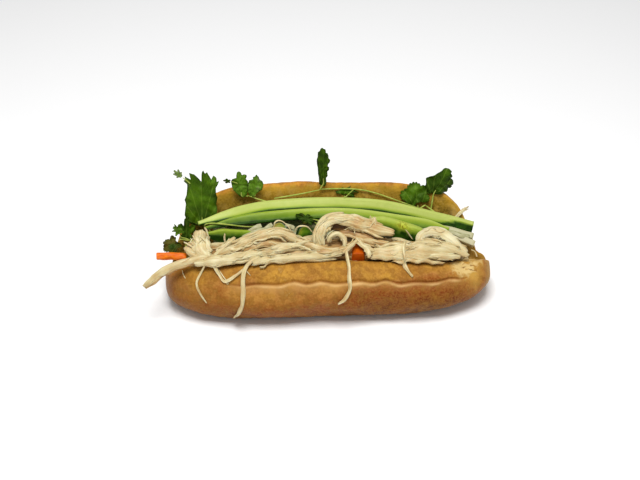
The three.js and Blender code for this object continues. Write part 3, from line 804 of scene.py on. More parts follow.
def bread_relief(areas, x, flat):
    """How far out each point lies, which fades out at the tips and on the table."""
    rough = 0.7 * areas["crumb"] * (humps("crumb", flat) + humps("fine crumb", flat))
    cracks = areas["torn"] * (humps("torn", flat) - 1.6 * areas["crack"])
    crust = (humps("dimples", flat) + humps("pinches", flat)) * (1 - areas["crumb"])
    relief = rough + cracks + crust + 0.3 * areas["swell"] * humps("pleats", flat)
    relief += FLAP["high"] * areas["flap"]
    return relief * (smoothstep(1 - np.abs(x) / HALF_LENGTH, 0, 0.02) * smoothstep(flat[:, 2], 0, 3))


tested = np.array([3.0, 18.5, 21.0])  # rows on the crust, just inside the rear lip and on the crumb
print("crumb in three rows:", np.round(crumb_area(tested, 0), 2))


# %% The bread
def ledge_line(x, row, at, width):
    """1 along a line beside the burst seam."""
    return seam_strength(x) * np.exp(-(((row - SEAM_AT - at) / width) ** 2))


def bread_masks(areas, row, x, flat):
    """The numbers that the finish reads at each point."""
    broken = humps("broken seam", flat)
    return {
        "crumb": areas["crumb"],
        "toasted": areas["toasted"],
        "torn": np.maximum(areas["torn"], areas["flap"]),
        "cracks": areas["crack"] * np.sqrt(areas["torn"]),
        "swell": areas["swell"] * (1 + 0.4 * humps("pleats", flat)),
        # Darker lower down the rear crumb face: painted shade behind the cucumber slices.
        "sunk": smoothstep(row, TOASTED_FROM + 0.2, TOASTED_FROM + 1.6),
        "tip": smoothstep(x, 92, 104),
        # A painted highlight along the edge of the ledge, and a painted shadow in the groove above it.
        "ledge": ledge_line(x, row, 0.08 + 0.03 * broken, 0.11) * (1 + 0.6 * broken),
        "groove": ledge_line(x, row, -0.07, 0.06) * (1 - 0.6 * broken),
    }


def bread():
    """The whole roll with its relief, and the masks that its finish reads."""
    rows = bread_rows()
    blank = Blank.of(len(rows), RINGS)
    row = rows[blank.column]
    x = HALF_LENGTH * even_stations(RINGS)[np.round(blank.along * RINGS).astype(int)]
    flat = roll_point(x, row)
    areas = bread_areas(row, x, flat)
    places = flat + bread_relief(areas, x, flat)[:, None] * outward_of(x, row)
    places[np.abs(x) >= HALF_LENGTH, 1] = HINGE_Y
    places[blank.rim == 0, 1] = HINGE_Y
    piece = blank.copy("bread", places, math.tau * 40, 2 * HALF_LENGTH)
    for name, values in bread_masks(areas, row, x, flat).items():
        mark(piece.data, name, values)
    return joined("bread", [piece])


roll = bread()
print("the bread has", len(roll.data.vertices), "points")


# %% [markdown]
# ## Crust and crumb
# The crust is golden on top and darkens towards the bottom. That is partly the browner base that lay against
# the baking tray and partly painted shade, as the lower crust faces away from the lamp. A colour ramp over
# the height gives that, and reaches further up on the right half. Blotches of four sizes break it up, and
# pale ones that grow stronger up the crust are painted light. The ledge of the seam is pale because it opened
# late in the oven, with a painted highlight along its edge and a painted shadow in the groove above it. The
# left end is darkened with painted shade and the right end paled with painted light. The crumb is cream with
# a toasted edge, which is darkened lower down with painted shade behind the cucumber slices. The attributes
# that the mesh carries say where each one goes, because a material can't know about rows of points by itself.

# %% Masks for the bread
BREAD_BLOTCHES = {  # size in mm, detail and sharpness
    "coarse": (20.0, 3.0, 0.25),
    "middling": (9.0, 4.0, 0.16),
    "smudges": (4.5, 4.0, 0.2),
    "fine": (1.3, 4.0, 0.22),
}
BAKED = (  # the crust from the table up to the rear lip
    (0, "421404"), (0.12, "5e1e06"), (0.27, "7a3009"), (0.4, "8c4816"), (0.5, "a66e36"),
    (0.56, "93601e"), (0.68, "9c7020"), (0.86, "b07a1c"), (1, "c07c18"),
)
ROLL_HEIGHT = 0.062
PINCH_SCALE = (700, 170, 170)  # waves to the metre along and across the roll


def bread_blotches(tree):
    """The blotch masks of the bread by name."""
    sizes = BREAD_BLOTCHES.items()
    return {name: effect(tree, "blotches", Size=a, Detail=b, Sharpness=c) for name, (a, b, c) in sizes}


def pinch_lines(tree, place):
    """Fine wrinkles that run up and down the crust: a noise squeezed along the roll."""
    squeeze = tree.nodes.new("ShaderNodeVectorMath")
    squeeze.operation = "MULTIPLY"
    tree.links.new(place, squeeze.inputs[0])
    squeeze.inputs[1].default_value = PINCH_SCALE
    noise = add(tree, "TexNoise", Vector=squeeze.outputs[0], Scale=1.0, Detail=4.0, Roughness=0.6)
    return spread(tree, noise, 0.42, 0.68)


print("blotches on the bread, in mm:", [size for size, _, _ in BREAD_BLOTCHES.values()])


# %% The colours of the bread
def crust_colour(tree, blots, x, height, pinches):
    """Golden on top and brown below, browner on the right half under the seam, and pale at the right end."""
    # Darker towards the bottom, and deepest below the seam on the right half: partly the browner base that
    # lay on the baking tray, partly painted shade where the crust faces away from the lamp.
    share = times(tree, height, 1 / ROLL_HEIGHT)
    wavy = wavering(tree, share, blots["coarse"], 0.2)
    hotter = times(tree, spread(tree, x, -0.01, 0.03), spread(tree, x, 0.085, 0.1, 1.0, 0.0))
    deeper = times(tree, hotter, spread(tree, share, 0.5, 0.58, 0.17, 0.0))
    baked = ramp(tree, sum_of(tree, "SUBTRACT", wavy, deeper), *BAKED)
    browned = stained(tree, baked, blots["middling"], 0.6, "7e3e12")
    # Pale patches that grow stronger up the crust and fade below the seam on the right half: painted light on
    # top.
    sunny = times(tree, blots["coarse"], spread(tree, height, 0.014, 0.034, 0.05, 0.5))
    shady = times(tree, hotter, spread(tree, share, 0.5, 0.58, 0.7, 0.0))
    clouded = mixed(tree, sum_of(tree, "SUBTRACT", sunny, shady), browned, "d0983c")
    flecked = stained(tree, clouded, blots["fine"], 0.28, "d8a552")
    smudged = mixed(tree, spread(tree, blots["smudges"], 0.3, 0.8, 0.0, 0.5), flecked, "84581c")
    pinched = stained(tree, smudged, pinches, 0.1, "6e3a12")
    # The left end is mixed towards olive brown as painted shade, the right end and its tip towards pale gold
    # as painted light.
    left = mixed(tree, spread(tree, x, -0.05, -0.108, 0.0, 0.35), pinched, "80581a")
    above, at_tip = spread(tree, wavy, 0.3, 0.62, 0.0, 0.72), spread(tree, x, 0.103, 0.112, 0.0, 0.6)
    right = times(tree, spread(tree, x, 0.07, 0.1), sum_of(tree, "MAXIMUM", above, at_tip))
    aged = mixed(tree, right, left, "c8a04a")
    risen = times(tree, attribute(tree, "swell"), spread(tree, hotter, 0.0, 1.0, 0.5, 0.2))
    swollen = mixed(tree, risen, aged, "c08f52")
    # A painted shadow in the groove above the seam, and a painted highlight along the edge of the ledge below
    # it.
    grooved = stained(tree, swollen, attribute(tree, "groove"), 0.6, "784510")
    return stained(tree, grooved, attribute(tree, "ledge"), 0.5, "dcb478")


def torn_colour(tree, blots, crust):
    """The crust with its broken patch, where pale crumb shows and the cracks are darkened with painted shade.
    """
    flakes = mixed(tree, spread(tree, blots["middling"], 0.2, 0.8), "dcc080", "b4843a")
    cracks = spread(tree, attribute(tree, "cracks"), 0.35, 0.8, 0.0, 0.85)
    chips = mixed(tree, cracks, flakes, "6a3410")
    ragged = wavering(tree, attribute(tree, "torn"), blots["smudges"], 0.5)
    return mixed(tree, spread(tree, ragged, 0.12, 0.5, 0.0, 0.85), crust, chips)


def toasted_colour(tree, blots):
    """The rear crumb face, toasted and wet with oil, and darker as it goes down, which is painted shade
    behind the cucumber slices.
    """
    sunk = mixed(tree, attribute(tree, "sunk"), "c0922a", "443608")
    oily = stained(tree, sunk, blots["middling"], 0.55, "6e5a0e")
    patchy = mixed(tree, spread(tree, blots["smudges"], 0.45, 0.85, 0.0, 0.25), oily, "c09a54")
    return stained(tree, patchy, blots["fine"], 0.35, "c49a3c")


print("the crust's ramp has", len(BAKED), "colours")


# %% The finish of the bread
def bread_finish():
    material, tree, shader = finish(
        "crust", 0.5, Specular_IOR_Level=0.15, Specular_Tint=(1.0, 0.7, 0.4, 1.0)
    )
    place = tree.nodes.new("ShaderNodeTexCoord").outputs["Object"]
    x, _, height = axes_of(tree, place)
    blots = bread_blotches(tree)
    pinches = pinch_lines(tree, place)
    crust = torn_colour(tree, blots, crust_colour(tree, blots, x, height, pinches))
    pale = mixed(tree, blots["fine"], "e2c88c", "c4a460")
    browned = mixed(tree, blots["middling"], "c9984a", "ae7a30")
    crumb = mixed(tree, attribute(tree, "tip"), pale, browned)
    deep = spread(tree, attribute(tree, "crumb"), 0.2, 0.95)
    inside = mixed(tree, deep, crust, crumb)
    bread_colour = mixed(tree, attribute(tree, "toasted"), inside, toasted_colour(tree, blots))
    tree.links.new(bread_colour, shader.inputs["Base Color"])
    tree.links.new(spread(tree, deep, 0.0, 1.0, 0.48, 0.85), shader.inputs["Roughness"])
    small, fold = times(tree, blots["fine"], 0.5), times(tree, pinches, 0.25)
    raised(tree, shader, sum_of(tree, "ADD", small, fold), 0.0005, 0.5)
    return material


put(roll, bread_finish(), "crust", "roll")


# %% [markdown]
# ## Cucumber
# The slices are cut lengthwise, so each has a strip of dark skin along one edge and pale wet flesh
# elsewhere. The section is an oval squared up by a power, as in the solid. Each point also carries how far
# it is from the skin, which the finish turns into the green rim and the pale middle. A slice twists as it
# lies and shows more of its skin in one part than in another, so the dark share changes along it. The thick
# wedge shows a few seeds too.

# %% Cucumber sizes
CUCUMBERS = {
    "cucumber_top": {
        "points": [(-88, 6.5, 53.4), (-70, 12, 55), (-40, 22, 54.6), (0, 26, 52.5), (40, 25, 48.8),
                   (80, 19, 41), (102.8, 14, 36.8)],
        "width": 9.2, "thickness": 4.2, "turn": (8, -14), "tips": (0.35, 0.9),
        "skin": (0.17, 0.6), "change": (0.82, 0.93), "green": (0.2, 0.14),
    },
    "cucumber_middle": {
        "points": [(-83, 3, 52), (-60, 10, 52.6), (-20, 15.6, 51.8), (15, 16.2, 50.4), (50, 13.4, 45.6),
                   (70, 11.8, 42), (85, 9.5, 38.6)],
        "width": 8, "thickness": 4.4, "turn": (-8, -4), "tips": (0.3, 0.5),
        # The wide dark share and the deep green on the left part are partly skin and partly painted shade.
        "skin": (0.32, 0.08), "change": (0.1, 0.45), "green": (1.5, 0.95),
    },
    "cucumber_lower": {
        "points": [(-84, 0, 49), (-66, 1, 46), (-46, 3, 42.5), (-24, 6, 38)],
        "width": 9.5, "thickness": 5, "turn": (-35, -25), "tips": (0.4, 0.9),
        "skin": (0.6, 0.7), "change": (0, 1), "green": (0.6, 0.8),
    },
    "cucumber_right": {
        "points": [(28, 5, 50), (40, 3.5, 48.5), (54, 0.5, 45), (72, -2, 38.5)],
        "width": 12, "thickness": 7.5, "turn": (-38, -34), "tips": (0.8, 0.6),
        "skin": (0.5, 0.52), "change": (0, 1), "green": (0.6, 0.6), "seeds": (0.58, -0.7),
    },
}
SQUARENESS = 0.45  # a lower power makes the oval boxier
HOLLOW = 0.0875  # how deep the cut face is, in shares of the thickness
CUCUMBER_SIDES, CUCUMBER_RINGS = 48, 110
SEEDS_LONG, SEEDS_WIDE = 0.09, 0.4  # half the size of the seedy part, in shares of the length and the width
NO_SEEDS = (9, 9)  # far outside the slice


def squared(value, power):
    """A cosine or sine raised to a power that keeps its sign."""
    return np.sign(value) * np.abs(value) ** power


def between(pair, share):
    """The number that lies that far from the first of the pair to the second."""
    return pair[0] + (pair[1] - pair[0]) * share


print("cucumber slices:", ", ".join(CUCUMBERS))


# %% Cucumber slices
def cucumber(name, points, width, thickness, turn, tips, skin, change, green, seeds=NO_SEEDS):
    """skin is the share of the width that is dark, and green how far the rind's green reaches in.

    Both are given before and after the part of the length in which they change. seeds is a place along and
    across the slice."""
    seed = len(name) + int(width * 10)

    def section(around, along):
        left = between((tips[0], 1), smoothstep(along, 0, 0.25))
        right = between((tips[1], 1), 1 - smoothstep(along, 0.8, 1))
        slim = np.minimum(left, right)
        corner = math.tau * around
        skin_places = np.stack([along * 20, np.cos(corner) * 3, np.sin(corner) * 3], axis=1)
        uneven = 0.16 * lumps(skin_places, 3, seed)
        aside = (width * slim / 2 + uneven) * squared(np.cos(corner), SQUARENESS)
        out = (thickness * np.sqrt(slim) / 2 + uneven) * squared(np.sin(corner), SQUARENESS)
        out -= HOLLOW * thickness * (1 - squared(np.cos(corner), 2)) * (np.sin(corner) > 0)
        angle = np.radians(between(turn, along))
        return aside * np.cos(angle) - out * np.sin(angle), aside * np.sin(angle) + out * np.cos(angle)

    piece = swept(name, points, section, CUCUMBER_SIDES, CUCUMBER_RINGS)
    blank = Blank.of(CUCUMBER_SIDES, CUCUMBER_RINGS)
    corner = math.tau * blank.around
    across = squared(np.cos(corner), SQUARENESS) * blank.rim
    after = smoothstep(blank.along, *change)
    band = between(skin, after) + 0.015 * lumps(blank.along * 30, 2, seed)
    from_skin = (1 - across) / 2 - band
    mark(piece.data, "skin", smoothstep(-from_skin, -0.01, 0.02))
    mark(piece.data, "rind", np.clip(1 - from_skin / between(green, after), 0, 1))
    away = ((blank.along - seeds[0]) / SEEDS_LONG) ** 2 + ((across - seeds[1]) / SEEDS_WIDE) ** 2
    mark(piece.data, "seeds", np.exp(-away))
    return joined(name + "_slice", [piece])


slices = {name: cucumber(name, **sizes) for name, sizes in CUCUMBERS.items()}
print("slices made:", len(slices))


# %% Cucumber finish
RIND = (  # from the pale middle to the skin
    (0, "b4be64"), (0.2, "a8b64e"), (0.45, "8a9e24"), (0.7, "68860c"), (0.88, "44680a"), (1, "28500a"),
)


def cucumber_finish():
    material, tree, shader = finish(
        "cucumber", 0.32, Specular_IOR_Level=0.14, Specular_Tint=(0.8, 1.0, 0.5, 1.0), Coat_Roughness=0.15,
        Subsurface_Weight=0.05, Subsurface_Radius=(0.6, 1.0, 0.3), Subsurface_Scale=0.0015,
    )
    grain = effect(tree, "grain", Fineness=0.8, Stretch=30.0, Seed=2.0)
    blotches = effect(tree, "blotches", Size=5.0, Detail=3.0, Sharpness=0.2)
    flesh = ramp(tree, wavering(tree, attribute(tree, "rind"), grain, 0.14), *RIND)
    watery = stained(tree, flesh, blotches, 0.22, "8fa63a")
    streaked = stained(tree, watery, grain, 0.08, "d0d694")
    spots = effect(tree, "blotches", Size=1.6, Detail=1.0, Sharpness=0.12)
    seedy = times(tree, attribute(tree, "seeds"), spread(tree, spots, 0.35, 0.6))
    seeded = stained(tree, streaked, attribute(tree, "seeds"), 0.6, "c8c83c")
    dotted = stained(tree, seeded, seedy, 0.8, "6e6408")
    skin = mixed(tree, blotches, "122a06", "26480a")
    tree.links.new(mixed(tree, attribute(tree, "skin"), dotted, skin), shader.inputs["Base Color"])
    tree.links.new(spread(tree, attribute(tree, "skin"), 0.0, 1.0, 0.06, 0.0), shader.inputs["Coat Weight"])
    raised(tree, shader, grain, 0.0002, 0.5)
    return material


put_each(slices, cucumber_finish(), "cucumber")


# %% [markdown]
# ## Carrot
# The carrot is cut into sticks with square corners, then pickled, which makes them shiny and a little
# wrinkled. A bar with a rounded square section does it. Its pieces stick out of the filling at the left end
# and show in a gap of the chicken. The one in the gap lies deep, so its colour is darkened with painted
# shade, and its corners are worn rounder.

# %% Carrot sticks
# A stick's darkness is painted shade: the middle one lies deep in a gap of the chicken.
CARROTS = {  # the line, the width, how dark it is, and how sharp its corners are
    "carrot_left": ([(-115.7, -15.5, 44), (-106, -15, 43.5), (-96, -14.5, 42)], 4.4, 0.0, 0.35),
    "carrot_middle": ([(20, -8, 40.8), (19.5, -14, 41.2), (19, -20.5, 41)], 8.6, 0.55, 0.6),
}
CARROT_WRINKLE = 0.16


def square_section(width, seed, wrinkle=0.12, power=0.35):
    """A square of that width with rounded corners, a little wrinkled along its length."""

    def section(around, along):
        corner = math.tau * around
        places = np.stack([along * 6, 2 * np.cos(corner), 2 * np.sin(corner)], axis=1)
        reach = width / 2 + wrinkle * lumps(places, 1.2, seed)
        reach *= smoothstep(np.minimum(along, 1 - along), -0.004, 0.03) * 0.12 + 0.88
        return reach * squared(np.cos(corner), power), reach * squared(np.sin(corner), power)

    return section


sticks = {}
for name, (points, width, dark, power) in CARROTS.items():
    section = square_section(width, seed=len(name), wrinkle=CARROT_WRINKLE, power=power)
    sticks[name] = joined(name + "_stick", [swept(name, points, section, sides=32, rings=40, tone=dark)])
print("carrot sticks:", len(sticks))


# %% Carrot finish
def carrot_finish():
    material, tree, shader = finish(
        "carrot", 0.4, Specular_IOR_Level=0.12, Coat_Weight=0.03, Coat_Roughness=0.2
    )
    grain = effect(tree, "grain", Fineness=1.4, Stretch=8.0, Seed=5.0)
    blotches = effect(tree, "blotches", Size=3.0, Detail=3.0, Sharpness=0.25)
    orange = mixed(tree, grain, "e06606", "f28410")
    # Darkened towards deep red with painted shade for a stick that lies deep.
    base = mixed(tree, attribute(tree, "tone"), orange, "8c2c02")
    tree.links.new(stained(tree, base, blotches, 0.5, "b84404"), shader.inputs["Base Color"])
    raised(tree, shader, grain, 0.0003, 0.5)
    return material


put_each(sticks, carrot_finish(), "carrot")


# %% [markdown]
# ## Green pepper
# The pepper is cut across into thick slices. Each starts as a cylinder, its cut face is inset for the pale
# wall and pushed in where the seeds sit, and its rim is bevelled. That is quick by hand and keeps true
# edges, so no formula is needed. The slice is then turned to look the way its solid does. One of the two is
# riper than the other, which shows as olive in its middle. Across each slice the colour also runs from olive
# on its upper left to deep green on its lower right, which is painted light and shade.

# %% Pepper slices
PEPPERS = {
    "pepper_left": {
        "at": (-33, 2, 49), "radius": 5.4, "depth": 3.4, "tilt": (-0.2, -0.55, 0.8), "ripe": 0.75,
    },
    "pepper_middle": {
        "at": (-16, 1, 45.5), "radius": 6, "depth": 4, "tilt": (0.35, -0.75, 0.55), "ripe": 0.4,
    },
}
PEPPER_STEPS = ((0.22, 0), (0.08, -0.14), (0.3, 0.04))  # insets in shares of the radius and of the depth
# The side of a slice that is painted lighter, as if lit from there; the far side is painted darker. This is
# painted light and shade, not ripeness.
RIPE_SIDE = (-0.8, 0.1, 0.6)  # the side of a slice that ripens first


def pick_faces(piece, test):
    """Selects the faces whose centre and normal pass the test, and enters edit mode."""
    bpy.context.tool_settings.mesh_select_mode = (False, False, True)
    bpy.ops.object.mode_set(mode="EDIT")
    bpy.ops.mesh.select_all(action="DESELECT")
    bpy.ops.object.mode_set(mode="OBJECT")
    for face in piece.data.polygons:
        face.select = test(face.center, face.normal)
    bpy.ops.object.mode_set(mode="EDIT")


def pepper(name, at, radius, depth, tilt, ripe):
    """The ripeness number says how far the slice has turned from deep green at 0 to olive at 1, in its
    middle. Across the slice it rises towards the lit side and falls on the far side, which paints light and
    shade.
    """
    bpy.ops.object.select_all(action="DESELECT")
    bpy.ops.mesh.primitive_cylinder_add(vertices=40, radius=radius * MM, depth=depth * MM)
    piece = bpy.context.object
    for side in (1, -1):
        pick_faces(piece, lambda centre, normal: normal.z * side > 0.9)
        for inward, outward in PEPPER_STEPS:
            bpy.ops.mesh.inset(thickness=inward * radius * MM, depth=outward * depth * MM)
        bpy.ops.object.mode_set(mode="OBJECT")
    bevel = piece.modifiers.new("rounded", "BEVEL")
    bevel.width = 0.5 * MM
    bevel.segments = 3
    bevel.limit_method = "ANGLE"
    only(piece)
    bpy.ops.object.modifier_apply(modifier=bevel.name)
    places = numbers(piece.data.vertices, "co", 3)
    mark(piece.data, "wall", np.hypot(places[:, 0], places[:, 1]) / (radius * MM))
    swell = 1 + 0.05 * lumps(unit(places[:, :2] + 1e-9) * 4, 2.5, seed=len(name))
    places[:, :2] *= swell[:, None] * 0.97
    piece.data.vertices.foreach_set("co", np.ravel(places))
    piece.rotation_euler = Vector(tilt).to_track_quat("Z", "Y").to_euler()
    piece.location = Vector(at) * MM
    bpy.ops.object.transform_apply(location=True, rotation=True, scale=True)
    away = numbers(piece.data.vertices, "co", 3) - np.array(at) * MM
    mark(piece.data, "ripe", ripe + away @ unit(np.array(RIPE_SIDE)) / (2 * radius * MM))
    return joined(name + "_slice", [piece])


rings_of_pepper = {name: pepper(name, **sizes) for name, sizes in PEPPERS.items()}
print("pepper slices:", len(rings_of_pepper))


# %% Pepper finish
RIPENING = ((0, "14260a"), (0.3, "2c4a08"), (0.5, "4c7010"), (0.75, "7f8e22"), (1, "95852e"))


def pepper_finish():
    material, tree, shader = finish(
        "pepper", 0.28, Specular_IOR_Level=0.3, Coat_Weight=0.2, Coat_Roughness=0.12
    )
    blotches = effect(tree, "blotches", Size=5.0, Detail=3.0, Sharpness=0.2)
    flesh = ramp(tree, wavering(tree, attribute(tree, "ripe"), blotches, 0.3), *RIPENING)
    wall = spread(tree, wavering(tree, attribute(tree, "wall"), blotches, 0.06), 0.82, 0.97)
    tree.links.new(mixed(tree, wall, flesh, "1c3606"), shader.inputs["Base Color"])
    raised(tree, shader, blotches, 0.0002, 0.4)
    return material


put_each(rings_of_pepper, pepper_finish(), "pepper")


# %% [markdown]
# ## What lies on what
# Loose bits have to rest on the heap and not float over it. A ray shot straight down on the solid model
# says how high the filling is at any place, and which piece it hits first.

# %% Look down on the solids
def tree_of(names):
    """A search tree over the solids of those names, in metres."""
    places, faces = [], []
    for name in names:
        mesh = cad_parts[name].data
        start = len(places)
        places += [v.co.copy() for v in mesh.vertices]
        faces += [[start + i for i in face.vertices] for face in mesh.polygons]
    return BVHTree.FromPolygons(places, faces)


SKY_HEIGHT = 0.2
chicken_tree = tree_of(["chicken"])
daikon_tree = tree_of(["daikon"])
heaps = ("chicken", "daikon")
others = [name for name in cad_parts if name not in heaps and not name.startswith("cilantro")]
other_tree = tree_of(others)


def top_at(tree, x, y):
    """The height of a solid at x and y, in mm, or -1 where there is none."""
    hit = tree.ray_cast(Vector((x * MM, y * MM, SKY_HEIGHT)), Vector((0, 0, -1)))[0]
    return hit.z / MM if hit else -1.0


print("chicken is", round(top_at(chicken_tree, 0, -15), 1), "mm high behind the front lip")


# %% [markdown]
# ## A bed under a heap
# The heaps of chicken and daikon are too deep to model to the bottom. Below the pieces that show lies a
# plain bed, which has the solid's section and stays a little lower, so that the real pieces cover it. Its
# low tone is painted shade in the gaps between those pieces, darker still in its grooves.

# %% Beds
CHICKEN_BED = {
    "section": [
        (-19, 37.5), (-20.5, 42), (-15, 46), (-8, 47), (-1, 44), (4, 39), (5, 30), (4, 19.5), (-3, 19.5),
        (-12, 29.5),
    ],
    "ends": (-93, 93),
    "bump": 1.0,
}
DAIKON_BED = {
    "section": [(7, 35), (13, 41), (20, 45.5), (26, 47), (27.5, 45), (21, 34.5), (12.5, 23.5), (6.5, 21)],
    "ends": (-80, 95),
    "bump": 0.6,
}
BED_SIDES, BED_RINGS = 64, 150
BED_ROUNDING = 14  # the length over which an end of a bed rounds off


# The low tone of a bed, and the darker tone in its grooves, are painted shade between the pieces on it.
def bed(name, section, ends, bump, sink=0.9, tone=0.3):
    """The core of a heap, with ends that round off and a surface grooved along its length."""
    blank = Blank.of(BED_SIDES, BED_RINGS)
    corners = np.array(section, float)
    middle = corners.mean(axis=0)
    at, _ = line_through(corners, blank.around, closed=True)
    arm = at - middle
    reach = np.linalg.norm(arm, axis=1, keepdims=True)
    x = ends[0] + sink + (ends[1] - ends[0] - 2 * sink) * blank.along
    from_end = np.minimum(x - ends[0], ends[1] - x)
    short = 1 - np.clip(from_end / BED_ROUNDING, 0, 1)
    rounding = np.sqrt(np.clip(1 - short**2, 0, 1)) * 0.6 + 0.4
    at = middle + arm * (1 - sink / reach) * (blank.rim * rounding)[:, None]
    rough = np.where(at[:, 0] < middle[0], 0, bump * np.sin(x / 6.1 + at[:, 0]) * np.sin(x / 15 + 2))
    groove = lumps(np.stack([x / 5, at[:, 0], at[:, 1]], axis=1), 1.5, seed=12, waves=30)
    rough += 0.6 * blank.rim * groove
    places = taper(x, at[:, 0], at[:, 1] + rough)
    return blank.copy(name, places, 90, 180, tone=tone + 0.12 * groove)


for name, sizes in {"chicken": CHICKEN_BED, "daikon": DAIKON_BED}.items():
    print(name, "bed:", sizes["ends"][1] - sizes["ends"][0], "mm long")


# %% [markdown]
# ## Shreds of chicken
# Shredded chicken is muscle pulled apart along its fibres. A real shred has one broad body grooved by its
# fibres, a few strands have parted from it, and finer fibres hang loose. So each shred of the solid becomes
# a wide bar along the same line, with two thinner bars beside it and two fibres on top. A strand's section
# is an oval with grooves that drift as they run, and its ends are pulled out unevenly, which frays them. A
# sculpted lump with a painted grain would look like dough from the side.

# %% Grooves and ends
def ridged(around, along, seed, ripples=(2, 3, 5, 8, 11)):
    """Fibres along a strand: where its outline stands out, from about -1 to 1, drifting as it runs."""
    rng = np.random.default_rng(seed)
    total = np.zeros_like(around)
    for count in ripples:
        sway = rng.uniform(0.3, 1.2) * np.sin(rng.uniform(3, 9) * along + rng.uniform(0, math.tau))
        drift = rng.uniform(0, math.tau) + rng.uniform(-2, 2) * along + sway
        total += rng.uniform(0.5, 1) * np.cos(count * math.tau * around + drift)
    return total / math.sqrt(len(ripples))


def tapering(along, tip=0.012, power=0.22):
    """A width of 1 in the middle that runs out at both ends."""
    return np.sin(math.pi * np.clip(along, tip, 1 - tip)) ** power


print("a strand narrows to", round(float(tapering(0)), 2), "of its width at its ends")


# %% Strands
def strand(
    points, width, thickness, seed, offset=(0, 0), flare=0.0, reach=(0, 1), tone=0.5, sides=12, rings=40,
    ridge=0.16, ragged=0.06, ripples=(2, 3, 5), **more,
):
    """One strand, offset aside and outward from its line, which it leaves by flare towards its ends."""
    rng = np.random.default_rng(seed)
    waves = rng.integers(1 << 30, size=4)
    twist, slow = rng.uniform(-0.4, 0.4), rng.uniform(-0.9, 0.9)
    long = length_of(points)

    def section(around, along):
        run = along * long
        angle = math.tau * around
        fibres = ridged(around, along, seed, ripples)
        size = tapering(along) * (1 + 0.13 * lumps(run, 8, waves[0])) * (1 + ridge * fibres)
        parting = 1 + flare * (smoothstep(along, 0.7, 1) + smoothstep(-along, -0.3, 0))
        aside = offset[0] * parting * (1 + 0.15 * lumps(run, 12, waves[1]))
        aside += 0.03 * width * lumps(run, 6, waves[1])
        out = offset[1] + 0.06 * thickness * lumps(run, 9, waves[2])
        turn = twist + slow * along
        a, c = width / 2 * size * np.cos(angle), thickness / 2 * size * np.sin(angle)
        aside = aside + a * np.cos(turn) - c * np.sin(turn)
        out = out + a * np.sin(turn) + c * np.cos(turn)
        end = smoothstep(along, 0.82, 1) - smoothstep(-along, -0.18, 0)
        slide = end * ragged * long * (0.5 * fibres - 0.3)
        # Lighter on the ridges of the fibres and darker in the grooves between them, which is painted shade,
        # with soft random changes on top.
        shade = 0.13 * fibres + 0.08 * lumps(run, 7, waves[3])
        return aside, out, slide, shade

    return swept("strand", points, section, sides, rings, tone=tone, reach=reach, **more)


print("one strand serves for shreds, fibres and wisps")


# %% Bundles
COMMON_TONE = 0.66


def bundle(points, width, thickness, seed, tone=COMMON_TONE, sides=36, **more):
    """A torn shred: one broad body grooved by its fibres, strands that part from it, and loose fibres."""
    rng = np.random.default_rng(seed)
    base = tone + rng.uniform(-0.06, 0.06)
    rings = int(np.clip(length_of(points) * 1.1, 30, 64))
    body = strand(
        points, 0.94 * width, 0.95 * thickness, seed, tone=base, sides=sides, rings=rings, ridge=0.065,
        ripples=(2, 3, 5, 8, 11), ragged=0.04, **more,
    )
    made = [body]
    for side in (-1, 1):
        offset = (side * width * rng.uniform(0.34, 0.46), thickness * rng.uniform(-0.1, 0.2))
        reach = (rng.uniform(0.03, 0.35), 1 - rng.uniform(0.03, 0.35))
        size = (width * rng.uniform(0.22, 0.34), thickness * rng.uniform(0.4, 0.6))
        flare, shade = rng.uniform(0, 0.5), base + rng.uniform(-0.15, 0.15)
        made.append(strand(points, *size, seed * 31 + side, offset, flare, reach, shade, 10, rings, **more))
    return made + fringe(points, width, thickness, seed, base, **more)


def fringe(points, width, thickness, seed, tone, count=2, **more):
    """Thin fibres that run along a shred and part from it."""
    rng = np.random.default_rng(seed + 5000)
    made = []
    for _ in range(count):
        start = rng.uniform(0, 0.6)
        reach = (start, min(1, start + rng.uniform(0.2, 0.45)))
        offset = (width * rng.uniform(-0.5, 0.5), thickness * rng.uniform(0.36, 0.5))
        size = rng.uniform(0.5, 0.9)
        fibre_seed, flare = int(rng.integers(1 << 30)), rng.uniform(0, 0.5)
        made.append(strand(points, size, size, fibre_seed, offset, flare, reach, tone + 0.12, 6, 20, **more))
    return made


print("a bundle is a broad body, two strands beside it and two fibres on top")
